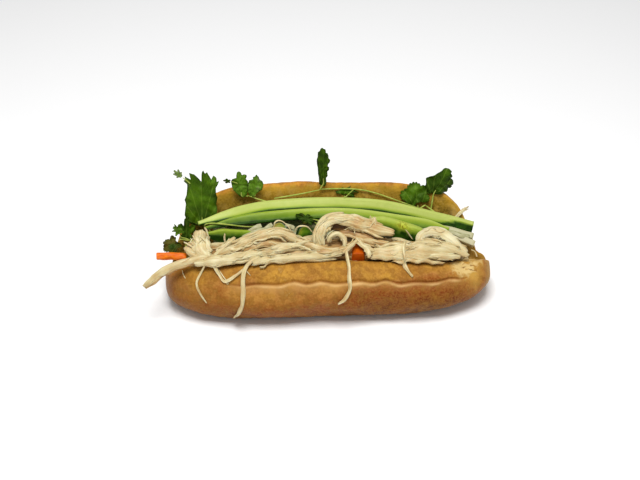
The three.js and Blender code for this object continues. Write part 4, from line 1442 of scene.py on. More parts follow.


# %% [markdown]
# ## The shreds that give the heap its shape
# These are the shreds of the solid model, with the same lines and sizes: the long tail past the left end,
# the bands along the lip, the arch, the curl in the middle and the broad slab at the right. The tail is two
# strands, a pale one on a darker one, whose darker tone is painted shade under the pale one. A shred that
# lies deep gets a darker tone than one on top, which is painted shade. A few plain strands fill the hollow
# under the arch, which would look empty from the side, and their dark tones are painted shade in the hollow.

# %% The lines of the large shreds
TAIL = [(-124, -31, 31), (-115, -29, 38), (-105, -26.5, 43.5), (-89, -23, 46), (-76, -22, 46)]
SHREDS = [
    (11.5, 6, [(-86, -4, 56), (-86, -9, 51.5), (-84.5, -15, 47.5), (-81, -22, 45.5)]),
    (5.4, 4, [(-93, -10, 51.6), (-90.5, -13.5, 49), (-84, -21, 46)]),
    (4, 3.4, [(-96.5, -14, 50.2), (-92, -18, 47.8), (-84, -23, 46)]),
    (3.4, 3.2, [(-63, -7, 51.5), (-69, -12, 49), (-78, -21, 46.5)]),
    (7, 5, [(-90, -25.5, 45), (-78, -25.5, 46), (-64, -24.5, 46.8), (-51, -21, 46.5), (-40, -17, 45.5)]),
    (6, 4.6, [(-54, -21, 47), (-42, -18, 46.5), (-30, -15, 46.5), (-18, -15, 46)]),
    (5.4, 4.4, [(-52, -28, 45.8), (-42, -26.5, 47), (-30, -25.5, 47.5), (-12, -24.5, 47), (8, -22, 46)]),
    (4.4, 4, [(-17, -21, 47.5), (-4, -22.5, 47.5), (6, -21.5, 47.8), (13, -17.5, 48.5)]),
    (6.6, 4.6, [(-76, -19, 46), (-63, -16, 50), (-53, -12, 53), (-42, -9, 54.8), (-31, -8.5, 54.6),
                (-22, -10.5, 50), (-11, -14, 46.5)]),
    (6, 4.4, [(-66, -19, 46), (-53, -15.5, 49), (-43, -12.5, 50), (-33, -12, 48), (-22, -14, 46)]),
    (5.6, 4.4, [(-24, -10, 51), (-14, -13.5, 48.5), (-3, -17, 46.5), (8, -18.5, 46)]),
    (8, 6, [(-5, -15, 48), (-6.5, -10.5, 53), (-3.5, -6, 58), (3, -3, 60.5), (13, -2, 60)]),
    (9, 5, [(6, -2.5, 60), (18, -3.5, 57.5), (29, -5.5, 54.5), (44, -9, 51.8)]),
    (3.6, 3.2, [(-1, -14, 50), (1, -11.5, 53), (6, -10, 54), (10, -13, 51.5), (10, -18, 49)]),
    (3.4, 2.6, [(31.5, 1, 58.5), (31, -3, 56.5), (29, -6, 54.5)]),
    (3.4, 2.8, [(8, -23, 48), (14, -18.5, 50.5), (20, -12.5, 51)]),
    (3.6, 3, [(18, -12.5, 51.5), (22.5, -17.5, 49), (30, -21, 46.8)]),
    (3.4, 2.6, [(23, -17, 49.5), (25.5, -22, 47), (26, -25.5, 44.8)]),
    (12, 5.4, [(27, -21.5, 45), (38, -22, 46), (52, -22, 45.6), (66, -22, 44.6), (84, -21, 41.5)]),
    (8, 5, [(60, -13, 46.5), (64, -8, 49), (71, -6, 49.8), (79, -8, 48), (86, -13, 44), (93, -18, 40)]),
    (6.6, 4.6, [(54, -17.5, 47.3), (65, -15, 47.3), (76, -16, 45.5), (86, -18.5, 42.5), (94, -20, 39.5)]),
    (4.6, 3.6, [(66, -24, 43.6), (77, -24, 43), (88, -22.5, 40.6)]),
    (5, 4, [(20, -12, 49), (30, -14, 48.5), (42, -17, 47.5)]),
]
# The darkest ones lie deep, and their low tone is painted shade.
TONES = {  # of the shreds that are paler or darker than the rest, by their place in the list
    0: 0.68, 4: 0.74, 6: 0.7, 8: 0.62, 9: 0.36, 10: 0.56, 11: 0.8, 12: 0.56, 13: 0.72, 18: 0.6, 19: 0.8,
    22: 0.42,
}
print("large shreds:", len(SHREDS))


# %% Strands that hang over the crust, and strands under the arch
HANGING = [  # width, thickness, points on the heap, and x and row on the crust
    (3.6, 2.2, [(-46, -23, 46.5), (-53, -27, 46.2)],
     [(-57.5, 0.5), (-58.5, 1.4), (-59, 2.6), (-62, 3.6), (-65.5, 4.4)]),
    (1.5, 1.4, [(-80, -22, 45.5), (-82.5, -26, 45)], [(-86, 0.5), (-89, 1.3), (-87, 2.1), (-83, 3)]),
    (2.4, 1.8, [(-79, -22, 45.5), (-77.5, -26, 45.2)], [(-74, 0.6), (-70, 1.1), (-63, 0.7), (-57, 0.25)]),
    (2.7, 2, [(10, -17, 49.5), (11, -23, 47.8)], [(12, 0.35), (12, 1.1), (12, 1.8), (9, 2.5), (4, 2.95)]),
    (2.5, 2, [(51, -18, 48), (49, -24, 47)], [(49.5, 0.1), (51, 0.5), (54.5, 0.95)]),
]
DOWN_THE_CRUST = (0, -0.8, 0.6)
# Their low tones are painted shade in the hollow under the arch.
UNDER_THE_ARCH = [  # width, tone and points
    (4.4, 0.3, [(5, -6, 50), (13, -6.5, 51.8), (21, -8.5, 50.6), (30, -12, 49)]),
    (3.2, 0.45, [(5, -8, 51), (13, -9, 51.4), (20, -11.5, 50.4), (25, -14.5, 48.4)]),
    (4, 0.2, [(4, -2, 50), (13, -2.5, 52.6), (24, -5.5, 51.8), (34, -10, 49)]),
    (6, 0.0, [(-6, 1, 50), (2, 0, 52), (12, 0, 52.6), (22, 0, 50)]),
]
print("hanging:", len(HANGING), "and under the arch:", len(UNDER_THE_ARCH))


# %% Make the large shreds
plain = {"sides": 24, "rings": 60, "ridge": 0.07, "ragged": 0.01}
large = [
    strand(TAIL, 5, 3.4, seed=90, offset=(-0.4, 0.5), tone=COMMON_TONE, **plain),
    # The lower strand of the tail is darker: painted shade under the upper one.
    strand(TAIL, 4.6, 3, seed=91, offset=(0.9, -0.7), tone=0.42, **plain),
]
for i, (width, tone, points) in enumerate(UNDER_THE_ARCH):
    large.append(strand(points, width, 0.7 * width, seed=80 + i, tone=tone, sides=16, rings=40))
for i, (width, thickness, points) in enumerate(SHREDS):
    large += bundle(points, width, thickness, seed=101 + i, tone=TONES.get(i, COMMON_TONE))

smooth = {"sides": 16, "rings": 60, "ragged": 0.02, "facing": DOWN_THE_CRUST}
for i, (width, thickness, heap, crust) in enumerate(HANGING):
    steps = [tuple(roll_point(x, row, thickness / 2 + 0.3)) for x, row in crust]
    large.append(strand(heap + steps, width, thickness, seed=200 + i, tone=0.68, **smooth))
large.append(bed("bed", **CHICKEN_BED))
shredded = joined("chicken_shreds", large)
print("large shreds and strands:", len(large), "bars")


# %% [markdown]
# ## Loose strands
# Between the large shreds lie many small ones, and thin fibres curl off them. Each is laid on the heap: its
# line runs mostly along the roll, the rays say how high the heap is under each of its points, and a strand
# whose place another piece covers is left out. So is one that would run down a steep side, where a real one
# slides off. The broad slab at the right lies bare, so what falls on it is drawn and then left out too. A
# seeded generator draws them, so the heap is the same on every run.

# %% How many, and where single fibres go
SMALL_SHREDS = 44
HIDDEN_SHREDS = 34  # behind the heap, where they only show from the back and from above
END_SHREDS = 16
WISPS = 45
SLAB = (24, 84, -12.5)  # the broad slab lies bare between these values of x, in front of this y
CURLS = [  # width and points of the fibres that stand out of the heap
    (0.9, [(-36.7, -6, 53), (-36.2, -6, 61.5), (-32.5, -6, 63.6), (-27.9, -6, 59.7), (-25, -7, 55)]),
    (0.9, [(-23.2, -6, 53), (-20.4, -6, 58), (-14.6, -6, 57.8), (-10.6, -7, 53)]),
    (1.2, [(-69.4, -12, 59), (-69.8, -12, 54), (-68.6, -12.5, 47)]),
    (2.4, [(-58.6, -10, 53), (-63, -11, 50.6), (-67.2, -12, 48.1), (-71.5, -13, 45)]),
    (1.2, [(-82.6, -9, 62.5), (-81, -10, 59), (-80.3, -11, 54)]),
    (0.9, [(52.6, -4, 50.6), (55, -4, 46.8), (57.6, -4.5, 42.6)]),
    (1.3, [(28.6, 0, 60.6), (29.6, -1, 56.5), (31, -3, 53)]),
    (1.4, [(-97, -12, 53), (-92, -14, 50.5), (-87, -18, 48)]),
    (1.2, [(-91, -9, 56), (-88, -13, 52), (-85, -17, 49)]),
    (1.0, [(96, -17, 42), (98.5, -18, 41), (100, -19.5, 37.5)]),
    (1.6, [(51.6, -13, 48), (50.6, -17.4, 50.2), (49.4, -21, 49.7), (48.8, -24.6, 49), (49, -27.6, 47.7),
           (49.6, -30, 45.6)]),
]
ON_THE_CRUST = [  # width, and x and row of the fibres that lie on the crust
    (0.8, [(-76, 0.2), (-73.5, 0.75), (-69, 1.25), (-67.5, 1.2)]),
    (0.7, [(-74.5, 0.15), (-72, 0.6), (-69, 1.0), (-66, 0.95), (-61, 0.5)]),
    (0.7, [(-99, 0.2), (-98, 0.6), (-96.6, 0.95)]),
    (0.6, [(-57, 0.15), (-55, 0.5), (-53, 0.7)]),
]
print("single fibres:", len(CURLS) + len(ON_THE_CRUST))


# %% Drape a line over the heap
STEEPEST = 2.5  # mm up or down from one point of a line to the next
CLEAR = 0.5  # mm that the heap has to rise over the pieces beside it
NO_LIMIT = 99  # higher than the sandwich, in mm


def draped(tree, rng, x, y, half, turn, thickness, bend=3.0, lowest=38, highest=NO_LIMIT):
    """A line over the heap through x and y, or None where something lies on top or the heap is steep."""
    steps = np.linspace(-1, 1, 9)
    curve = bend * rng.uniform(-1, 1) * (1 - steps**2) + 0.8 * rng.uniform(-1, 1) * np.sin(4 * steps)
    xs = x + half * steps * math.cos(turn) - curve * math.sin(turn)
    ys = y + half * steps * math.sin(turn) + curve * math.cos(turn)
    tops = np.array([top_at(tree, a, b) for a, b in zip(xs, ys)])
    above = np.array([top_at(other_tree, a, b) for a, b in zip(xs, ys)])
    if (tops < lowest).any() or (tops > highest).any() or (above > tops - CLEAR).any():
        return None
    if np.abs(np.diff(tops)).max() > STEEPEST:
        return None
    padded = np.concatenate([[tops[0]], tops, [tops[-1]]])
    heights = np.minimum(tops, (padded[:-2] + padded[1:-1] + padded[2:]) / 3) + 0.2 * thickness
    return np.stack([xs, ys, heights], axis=1)


print("a draped line rises at most", STEEPEST, "mm from one point to the next")


# %% Small shreds
MOST_TRIES = 3000


def small_shreds(count, widest, rows, seed, highest=NO_LIMIT):
    """Shreds laid over the heap between two values of y, up to a height."""
    rng = np.random.default_rng(seed)
    made, tries = [], 0
    while len(made) < count and tries < MOST_TRIES:
        tries += 1
        width = rng.uniform(1.8, widest)
        x, y = rng.uniform(-92, 92), rng.uniform(*rows)
        half, turn = rng.uniform(5, 15), rng.normal(0, 0.35)
        points = draped(chicken_tree, rng, x, y, half, turn, width * 0.6, highest=highest)
        if points is not None:
            tone = rng.uniform(0.4, 0.85)
            seed = int(rng.integers(1 << 30))
            over_slab = SLAB[0] < points[:, 0].mean() < SLAB[1] and points[:, 1].mean() < SLAB[2]
            made.append(None if over_slab else strand(points, width, width * 0.55, seed, tone=tone, rings=28))
    return [piece for piece in made if piece]


loose = small_shreds(SMALL_SHREDS, 4, (-24, -4), seed=41, highest=51.5)
loose += small_shreds(HIDDEN_SHREDS, 4, (-3, 6), seed=44)
print("small shreds:", len(loose))


# %% Shreds at the ends
def end_shreds():
    """Shreds that poke out of both ends of the core."""
    rng = np.random.default_rng(42)
    made = []
    for side in (-1, 1):
        for _ in range(END_SHREDS):
            y, z = rng.uniform(-15, -2), rng.uniform(27, 42)
            start = taper(side * 70.0, y, z)
            end = taper(side * rng.uniform(92, 98), y + rng.uniform(-3, 3), z - rng.uniform(0, 3))
            middle = (start + end) / 2 + [0, 0, rng.uniform(0, 2)]
            size = (rng.uniform(3, 5.5), rng.uniform(2, 3.4))
            seed, tone = int(rng.integers(1 << 30)), rng.uniform(0.4, 0.7)
            made.append(strand([start, middle, end], *size, seed, tone=tone, rings=24))
    return made


at_ends = end_shreds()
print("shreds at the ends:", len(at_ends))


# %% Wisps and single fibres
def wisps():
    """Thin fibres that lie on the heap and lift off it at one end."""
    rng = np.random.default_rng(43)
    made = []
    while len(made) < WISPS:
        x, y = rng.uniform(-96, 94), rng.uniform(-25, 0)
        size = rng.uniform(0.4, 0.8)
        points = draped(chicken_tree, rng, x, y, rng.uniform(3, 9), rng.normal(0, 0.7), size, bend=4)
        if points is not None:
            points[:, 2] += rng.uniform(0, 1.4) * np.linspace(0, 1, len(points)) ** 2 + 0.2
            seed = int(rng.integers(1 << 30))
            made.append(strand(points, size, size, seed, tone=rng.uniform(0.5, 0.9), sides=6, rings=18))
    return made


def curls():
    """The fibres that stand out of the heap, and those that lie on the crust."""
    made = []
    for i, (size, points) in enumerate(CURLS):
        made.append(strand(points, size, size, 300 + i, tone=0.75, sides=8, rings=36))
    for i, (size, crust) in enumerate(ON_THE_CRUST):
        points = [tuple(roll_point(x, row, 0.6 * size)) for x, row in crust]
        made.append(strand(points, size, size, 350 + i, tone=0.8, sides=8, rings=30, facing=DOWN_THE_CRUST))
    return made


strands = joined("chicken_strands", loose + at_ends + wisps() + curls())
print("loose strands:", len(strands.data.polygons), "faces")


# %% [markdown]
# ## The finish of the chicken
# Cooked chicken is pale cream with a moist sheen and fine lines along its fibres. It is browner where the
# strands part, which is painted shade: deep strands and the bed between them get low, brown tones. Light
# goes a little way into it, so it has some subsurface scattering. Each strand carries a tone of its own,
# because real ones come from different parts of the meat.

# %% Chicken finish
# The dark end of the ramp is painted shade in the gaps.
MEAT = (  # from the dark gaps to the palest strands
    (0, "6a4620"), (0.25, "a67a42"), (0.42, "c6a468"), (0.6, "d2bc86"), (0.8, "ded09e"), (1, "ece4ba"),
)


def chicken_finish():
    material, tree, shader = finish(
        "chicken", 0.42, Specular_IOR_Level=0.4, Coat_Weight=0.2, Coat_Roughness=0.28,
        Subsurface_Weight=0.12, Subsurface_Radius=(1.0, 0.6, 0.35), Subsurface_Scale=0.001,
    )
    grain = effect(tree, "grain", Fineness=1.5, Stretch=16.0, Seed=1.0)
    blotches = effect(tree, "blotches", Size=8.0, Detail=3.0, Sharpness=0.25)
    tone = sum_of(tree, "ADD", attribute(tree, "tone"), sum_of(tree, "MULTIPLY_ADD", grain, -0.16, 0.08))
    base = ramp(tree, tone, *MEAT)
    tree.links.new(stained(tree, base, blotches, 0.2, "b48c54"), shader.inputs["Base Color"])
    raised(tree, shader, grain, 0.0004, 0.7)
    return material


chicken_look = chicken_finish()
put(shredded, chicken_look, "chicken", "chicken")
put(strands, chicken_look, "chicken")


# %% The stray shred
STRAY = [(89, 17.5, 33.5), (91.5, 19.5, 41), (96, 22.4, 44.6), (102, 30, 43)]
stray = joined("stray_shred", bundle(STRAY, 2, 1.6, seed=77, sides=16))
put(stray, chicken_look, "chicken", "chicken_stray")


# %% [markdown]
# ## Daikon
# Pickled daikon is cut into thin sticks. It is white and wet, and clear enough to look grey in places, so
# each stick has a tone of its own. The bed under them is dark and green: painted shade, tinted green by the
# leaves around. The sticks of the solid come first, then many more are draped over the bed in the same way
# as the chicken.

# %% Daikon sticks
DAIKON_WIDTH = 4.4
DAIKON_STICKS = [
    (0.7, [(-56, 4, 41), (-45, 5.5, 45), (-34, 7, 42)]),
    (0.9, [(66, 12, 35.5), (86, 7, 36), (102, 0, 32.5)]),
    (0.75, [(62, 16, 37), (84, 12, 37), (102, 6, 34.5)]),
]
HIGH_STICKS = [  # bits that lie on the heap, where light reaches them
    (3, [(-56, 3.5, 45.5), (-50, 5, 49), (-45.2, 6, 50.6)]),
    (3.6, [(-58, 0, 44.5), (-49.8, 1, 48.2), (-42.9, 2, 49.7)]),
    (3, [(-46, 4, 46), (-41.5, 5.5, 48.5), (-37.7, 7, 50.4)]),
    (2.6, [(-29, 4, 51.5), (-26, 3.5, 51), (-23, 3, 49.5)]),
]
LOOSE_DAIKON = 40  # sticks in all, with those above
MOST_DAIKON_TRIES = 4000


def daikon():
    """The sticks one by one, and their bed."""
    rng = np.random.default_rng(61)
    section = square_section(DAIKON_WIDTH, seed=4, power=0.3)
    made = [swept("stick", points, section, sides=24, rings=30, tone=tone) for tone, points in DAIKON_STICKS]
    for width, points in HIGH_STICKS:
        section = square_section(width, seed=5, power=0.4)
        made.append(swept("stick", points, section, sides=16, rings=24, tone=0.7))
    tries = 0
    while len(made) < LOOSE_DAIKON and tries < MOST_DAIKON_TRIES:
        tries += 1
        width = rng.uniform(1.8, 3)
        x, y = rng.uniform(-84, 92), rng.uniform(4, 28)
        points = draped(daikon_tree, rng, x, y, rng.uniform(7, 16), rng.normal(0, 0.3), width, 1.5, lowest=30)
        if points is not None:
            points[:, 2] -= 0.3 * width
            section = square_section(width, seed=int(rng.integers(1 << 30)), power=0.3)
            made.append(swept("stick", points, section, sides=16, rings=24, tone=rng.uniform(0.4, 0.9)))
    return joined("daikon_sticks", made + [bed("bed", **DAIKON_BED)])


sticks_of_daikon = daikon()
print("daikon:", len(sticks_of_daikon.data.polygons), "faces")


# %% Daikon finish
def daikon_finish():
    material, tree, shader = finish(
        "daikon", 0.4, Specular_IOR_Level=0.25, Coat_Weight=0.06, Coat_Roughness=0.2,
        Subsurface_Weight=0.1, Subsurface_Radius=(1.0, 1.0, 0.8), Subsurface_Scale=0.003,
    )
    grain = effect(tree, "grain", Fineness=1.2, Stretch=18.0, Seed=7.0)
    # The low, green end of the ramp, which the bed gets, is painted shade tinted green by the leaves around.
    base = ramp(tree, attribute(tree, "tone"), (0.2, "4c6a1c"), (0.45, "8c8e58"), (1, "c8c09c"))
    tree.links.new(stained(tree, base, grain, 0.2, "cfc6a2"), shader.inputs["Base Color"])
    raised(tree, shader, grain, 0.0002, 0.4)
    return material


put(sticks_of_daikon, daikon_finish(), "daikon", "daikon")


# %% [markdown]
# ## The outline of a leaf
# A cilantro leaflet has a few lobes, and each lobe ends in blunt teeth. Most outlines here are worked out
# from the angle round the leaf: a lobe is a bump, and the longest bump at each angle counts. The three
# leaves that stand up and are seen best have outlines of their own, drawn as points across and along the
# leaf from -1 to 1, clockwise from the tip. Either way the outline ends up as one place for each point of
# the rim.

# %% Drawn outlines
TALL = [
    (0.14, 1), (0.22, 0.88), (0.34, 0.93), (0.49, 0.75), (0.58, 0.64), (0.69, 0.79), (0.84, 0.71),
    (0.86, 0.57), (1, 0.59), (0.9, 0.48), (0.8, 0.38), (0.82, 0.17), (0.89, 0.03), (0.81, -0.2),
    (0.86, -0.42), (0.8, -0.65), (0.68, -0.82), (0.58, -0.73), (0.49, -0.9), (0.25, -0.97), (-0.07, -1),
    (-0.53, -0.99), (-0.77, -0.9), (-0.91, -0.76), (-1, -0.62), (-0.95, -0.39), (-0.9, -0.18),
    (-0.96, -0.04), (-0.85, 0.12), (-0.81, 0.31), (-0.8, 0.45), (-0.87, 0.57), (-1, 0.62), (-0.86, 0.67),
    (-0.92, 0.79), (-0.77, 0.74), (-0.58, 0.66), (-0.67, 0.9), (-0.56, 0.88), (-0.39, 0.85), (-0.18, 0.7),
    (0.07, 0.54), (0.17, 0.61), (0.04, 0.83), (0.07, 0.95),
]
BROAD = [
    (0.12, 1), (0.32, 0.95), (0.42, 0.7), (0.68, 0.73), (0.94, 0.68), (0.92, 0.53), (0.8, 0.4), (1, 0.2),
    (0.92, -0.3), (0.68, -0.8), (0.2, -1), (-0.28, -0.88), (-0.56, -0.6), (-0.92, -0.3), (-1, 0.08),
    (-1, 0.35), (-0.8, 0.53), (-0.32, 0.55), (-0.28, 0.73), (-0.12, 0.95),
]
LEANING = [
    (0.02, 1), (0.36, 0.84), (0.45, 0.61), (0.83, 0.47), (1, 0.19), (0.87, -0.27), (0.23, -0.61),
    (-0.11, -0.96), (-0.66, -0.98), (-0.96, -0.5), (-1, 0.07), (-0.83, 0.5), (-0.36, 0.59), (-0.4, 0.79),
    (-0.15, 0.81),
]
NARROW = [
    (-0.1, 1), (0.1, 0.93), (0.22, 0.98), (0.34, 0.9), (0.36, 0.78), (0.62, 0.74), (0.76, 0.6), (0.74, 0.5),
    (1, 0.38), (0.96, 0.28), (0.7, 0.22), (0.6, 0.1), (0.86, 0), (0.82, -0.14), (0.56, -0.22),
    (0.62, -0.44), (0.4, -0.55), (0.42, -0.8), (0.2, -1), (-0.3, -0.98), (-0.62, -0.84), (-0.66, -0.5),
    (-0.78, -0.3), (-0.8, 0), (-0.92, 0.2), (-0.94, 0.45), (-0.8, 0.6), (-0.78, 0.8), (-0.5, 0.88),
    (-0.34, 0.98),
]
CURLED = [
    (0.1, 1), (0.3, 0.94), (0.34, 0.82), (0.22, 0.76), (0.5, 0.72), (0.62, 0.6), (0.56, 0.48), (0.82, 0.4),
    (0.9, 0.24), (0.74, 0.16), (0.98, 0.02), (0.96, -0.14), (0.78, -0.18), (0.84, -0.42), (0.6, -0.52),
    (0.36, -0.72), (0, -0.92), (-0.3, -1), (-0.56, -0.8), (-0.82, -0.5), (-0.94, -0.2), (-0.84, 0.1),
    (-0.6, 0.36), (-0.4, 0.62), (-0.16, 0.9),
]
print("drawn outlines:", [len(outline) for outline in (TALL, BROAD, LEANING, NARROW, CURLED)], "points")


# %% Lobes
THREE_LOBES = ((0, 1, 34), (-66, 0.92, 36), (64, 0.95, 34), (-128, 0.7, 34), (126, 0.72, 34))
FEATHER = ((0, 1, 22), (-42, 0.95, 22), (44, 0.85, 22), (-86, 0.7, 24), (90, 0.6, 24))
FRILLS = (
    (0, 1, 24), (-40, 0.86, 20), (38, 0.9, 22), (-78, 0.95, 22), (80, 0.88, 22), (-122, 0.8, 24),
    (120, 0.84, 24), (180, 0.5, 40),
)
FAN = ((-10, 0.97, 60), (-72, 1, 52), (52, 0.92, 44), (-130, 0.86, 44), (112, 0.8, 44))
MOST_LOBES = 12  # an outline with more entries than this is a drawn one
SHORTEST_REACH = 0.42  # of the blade between its lobes


def drawn(points):
    """Rim places from a drawn outline, as shares of half the width and half the length."""
    ring = np.array(points + points[:1], float)
    run = np.concatenate([[0], np.cumsum(np.hypot(*np.diff(ring, axis=0).T))])
    at = np.mod(DISC_ANGLE, 360) / 360 * run[-1]
    return np.interp(at, run, ring[:, 0]), np.interp(at, run, ring[:, 1])


def lobed(lobes, tooth_count=26, tooth=0.11):
    """Rim places from lobes, each an angle from the tip, a reach and a half width in degrees."""
    reach = np.full(len(DISC_ANGLE), SHORTEST_REACH)
    for angle, far, wide in lobes:
        away = np.abs(np.mod(DISC_ANGLE - angle + 180, 360) - 180) / wide
        reach = np.maximum(reach, far * np.cos(np.clip(away, 0, 1) * math.pi / 2) ** 0.45)
    turn = np.radians(DISC_ANGLE)
    notch = 1 - np.abs(np.sin(turn * tooth_count / 2 + 0.6 * np.sin(3 * turn))) ** 0.8
    reach = reach * (1 - tooth * notch)
    return reach * np.sin(turn), reach * np.cos(turn)


print("lobed outlines:", [len(outline) for outline in (THREE_LOBES, FEATHER, FRILLS, FAN)], "lobes")


# %% A round blank for the blades
LEAF_SIDES, LEAF_RINGS = 216, 10


def disc():
    """A round blank of rings, with each point's angle from the tip and its reach."""
    bpy.ops.object.select_all(action="DESELECT")
    bpy.ops.mesh.primitive_circle_add(vertices=LEAF_SIDES, radius=1, fill_type="TRIFAN")
    piece = bpy.context.object
    cut_across(piece, np.hypot(*numbers(piece.data.vertices, "co", 3)[:, :2].T), LEAF_RINGS - 1)
    mesh = piece.data
    x, y, _ = numbers(mesh.vertices, "co", 3).T
    bpy.data.objects.remove(piece)
    return mesh, np.degrees(np.arctan2(x, y)), np.hypot(x, y)


DISC, DISC_ANGLE, DISC_REACH = disc()
print("a leaf has", len(DISC_ANGLE), "points")


# %% [markdown]
# ## Cilantro leaves
# A leaf is thin and never flat. The disc's rings shrink from the outline to the middle, the blade bends
# down towards its edges, ripples and puckers between its veins, and Solidify gives it its thickness.
# Tracing an outline as a flat shape and filling it would leave long thin faces that don't bend.

# %% The bend and the mesh of a blade
LEAF_THICKNESS = 0.4
EDGE_FROM = 0.8  # the reach at which the dark edge of a leaf begins


def bend_of(across, forward, width, length, curl, frill, seed):
    """How far out each point of a blade lies: a rippled edge, puckers, and a curl that bends it down."""
    turn = np.radians(DISC_ANGLE)
    ripple = frill * width * DISC_REACH**3 * (np.sin(5 * turn + seed) + 0.6 * np.sin(9 * turn + 2 * seed))
    pucker = 0.02 * width * lumps(np.stack([across, forward], axis=1), width / 7, seed, waves=16)
    return ripple + pucker - curl * (across**2 + 0.4 * forward**2) / max(width, length)


def blade(places, flat, tone):
    """A thin blade with its points at places. flat holds their places on the leaf from 0 to 1."""
    mesh = DISC.copy()
    mesh.vertices.foreach_set("co", np.ravel(places * MM))
    corners = np.array([loop.vertex_index for loop in mesh.loops])
    for layer in list(mesh.uv_layers):
        mesh.uv_layers.remove(layer)
    mesh.uv_layers.new(name="blade").uv.foreach_set("vector", np.ravel(flat[corners]))
    mark(mesh, "tone", tone)
    mark(mesh, "stalk", 0)
    mark(mesh, "edge", smoothstep(DISC_REACH, EDGE_FROM, 1))
    mesh.update()
    piece = placed("blade", mesh)
    only(piece)
    wall = piece.modifiers.new("thickness", "SOLIDIFY")
    wall.thickness = LEAF_THICKNESS * MM
    wall.offset = 0
    bpy.ops.object.modifier_apply(modifier=wall.name)
    return piece


print("a blade is", LEAF_THICKNESS, "mm thick")


# %% Leaves and stalks
STEM_WIDTH = 1.3
STALK_ENDS = (0.42, 0.28)  # how far behind the middle of its blade a stalk runs on, in shares of the length
TOWARDS_FRONT = (0, -0.9, 0.4)


def leaf(foot, centre, up, width, length, outline, facing=TOWARDS_FRONT, curl=0.25, frill=0.05, tone=0.5):
    """A blade and the stalk that runs from foot into it. tone goes from olive at 0 to pale green at 1."""
    along = unit(np.array(up, float))
    side = unit(np.cross(along, facing))
    out = np.cross(side, along)
    rim_across, rim_forward = drawn(outline) if len(outline) > MOST_LOBES else lobed(outline)
    across = DISC_REACH * rim_across * width / 2
    forward = DISC_REACH * rim_forward * length / 2
    seed = int(abs(centre[0]) * 10 + width)
    bend = bend_of(across, forward, width, length, curl, frill, seed)
    places = np.array(centre) + across[:, None] * side + forward[:, None] * along + bend[:, None] * out
    flat = np.stack([across / width + 0.5, forward / length + 0.5], axis=1)
    patchy = tone + 0.12 * lumps(np.stack([across, forward], axis=1), width / 3, seed + 1)
    inside, end = (np.array(centre) - share * length * along for share in STALK_ENDS)
    slim = STEM_WIDTH * min(1, 0.45 + length / 35)
    line = [foot, (np.array(foot) + inside) / 2 - 0.3 * out, inside, end]
    return [blade(places, flat, patchy), stalk(line, slim)]


def stalk(points, width=STEM_WIDTH, tone=0.7):
    """A round stem along a line."""

    def section(around, along):
        size = width / 2 * (1 - 0.45 * along) * tapering(along, 0.02)
        return size * np.cos(math.tau * around), size * np.sin(math.tau * around)

    piece = swept("stalk", points, section, sides=8, rings=24, facing=TOWARDS_FRONT, tone=tone)
    mark(piece.data, "stalk", 1)
    mark(piece.data, "edge", 0)
    piece.data.uv_layers.new(name="blade")
    return piece


print("a leaf is a blade and a stalk")


# %% Sprigs on the left half
# For each solid its stems, then its leaves: foot, centre, way up, width, length, outline and the rest.
SPRIGS = {
    "cilantro_left": ([
        [(-80, 8, 45), (-83, 10, 47.5), (-86, 12, 49.5)],
        [(-84, 7, 50.5), (-82.5, 5, 54.2), (-77.2, 4.8, 54.7), (-67.8, 4.2, 53.7), (-60.4, 5.2, 51.4),
         (-52.3, 7, 49), (-48, 10, 48.5)],
    ], [
        ((-84, 11, 48), (-85.1, 16, 67.5), (0.03, 0.3, 0.95), 24, 40, TALL,
         {"curl": 0.3, "frill": 0.035, "tone": 0.5}),
        ((-92, 18, 79), (-98.7, 19, 85.6), (-0.6, 0.2, 0.5), 8, 10, FEATHER, {"tone": 0.95}),
    ]),
    "cilantro_far_left": ([[(-84, 6, 40), (-90, 6, 39), (-96, 7, 39)]], [
        ((-92, 6.5, 38.5), (-97, 9, 44), (0.1, 0.3, 0.9), 14, 24, THREE_LOBES,
         {"curl": 0.3, "tone": 0.36}),
        ((-94, 6.5, 39), (-102.2, 7, 47.2), (-0.35, 0.2, 0.9), 9, 12, FRILLS,
         {"facing": (-0.3, -0.8, 0.5), "frill": 0.1, "tone": 0.7}),
        ((-95, 6.5, 39), (-106.5, 2.5, 39.8), (-0.8, -0.25, -0.3), 14, 16, FAN,
         {"facing": (-0.3, -0.6, 0.7), "frill": 0.1, "tone": 0.04}),
    ]),
    "cilantro_rear_left": ([[(-36, 26, 54), (-45, 27, 56.5), (-54, 28, 60)]], [
        ((-54, 28, 59.5), (-59.2, 29.6, 68.2), (-0.1, 0.3, 0.95), 11.5, 19, BROAD, {"tone": 0.66}),
        ((-52, 28, 59), (-48.6, 29.6, 66.7), (0.1, 0.3, 0.95), 10.8, 16.5, LEANING, {"tone": 0.76}),
        ((-60, 30, 69), (-67.3, 30, 71.4), (-1, 0, 0.2), 4, 7, THREE_LOBES, {"tone": 0.12}),
    ]),
    "cilantro_upright": ([[(-36, 26.5, 58), (-18, 28.5, 59.6), (-3, 30.5, 61.5)]], [
        ((-4, 30.3, 61.4), (-1.5, 32.5, 78.5), (0, 0.1, 1), 9.5, 30, NARROW,
         {"curl": 0.12, "frill": 0.05, "tone": 0.32}),
    ]),
}
print("sprigs on the left half:", len(SPRIGS))


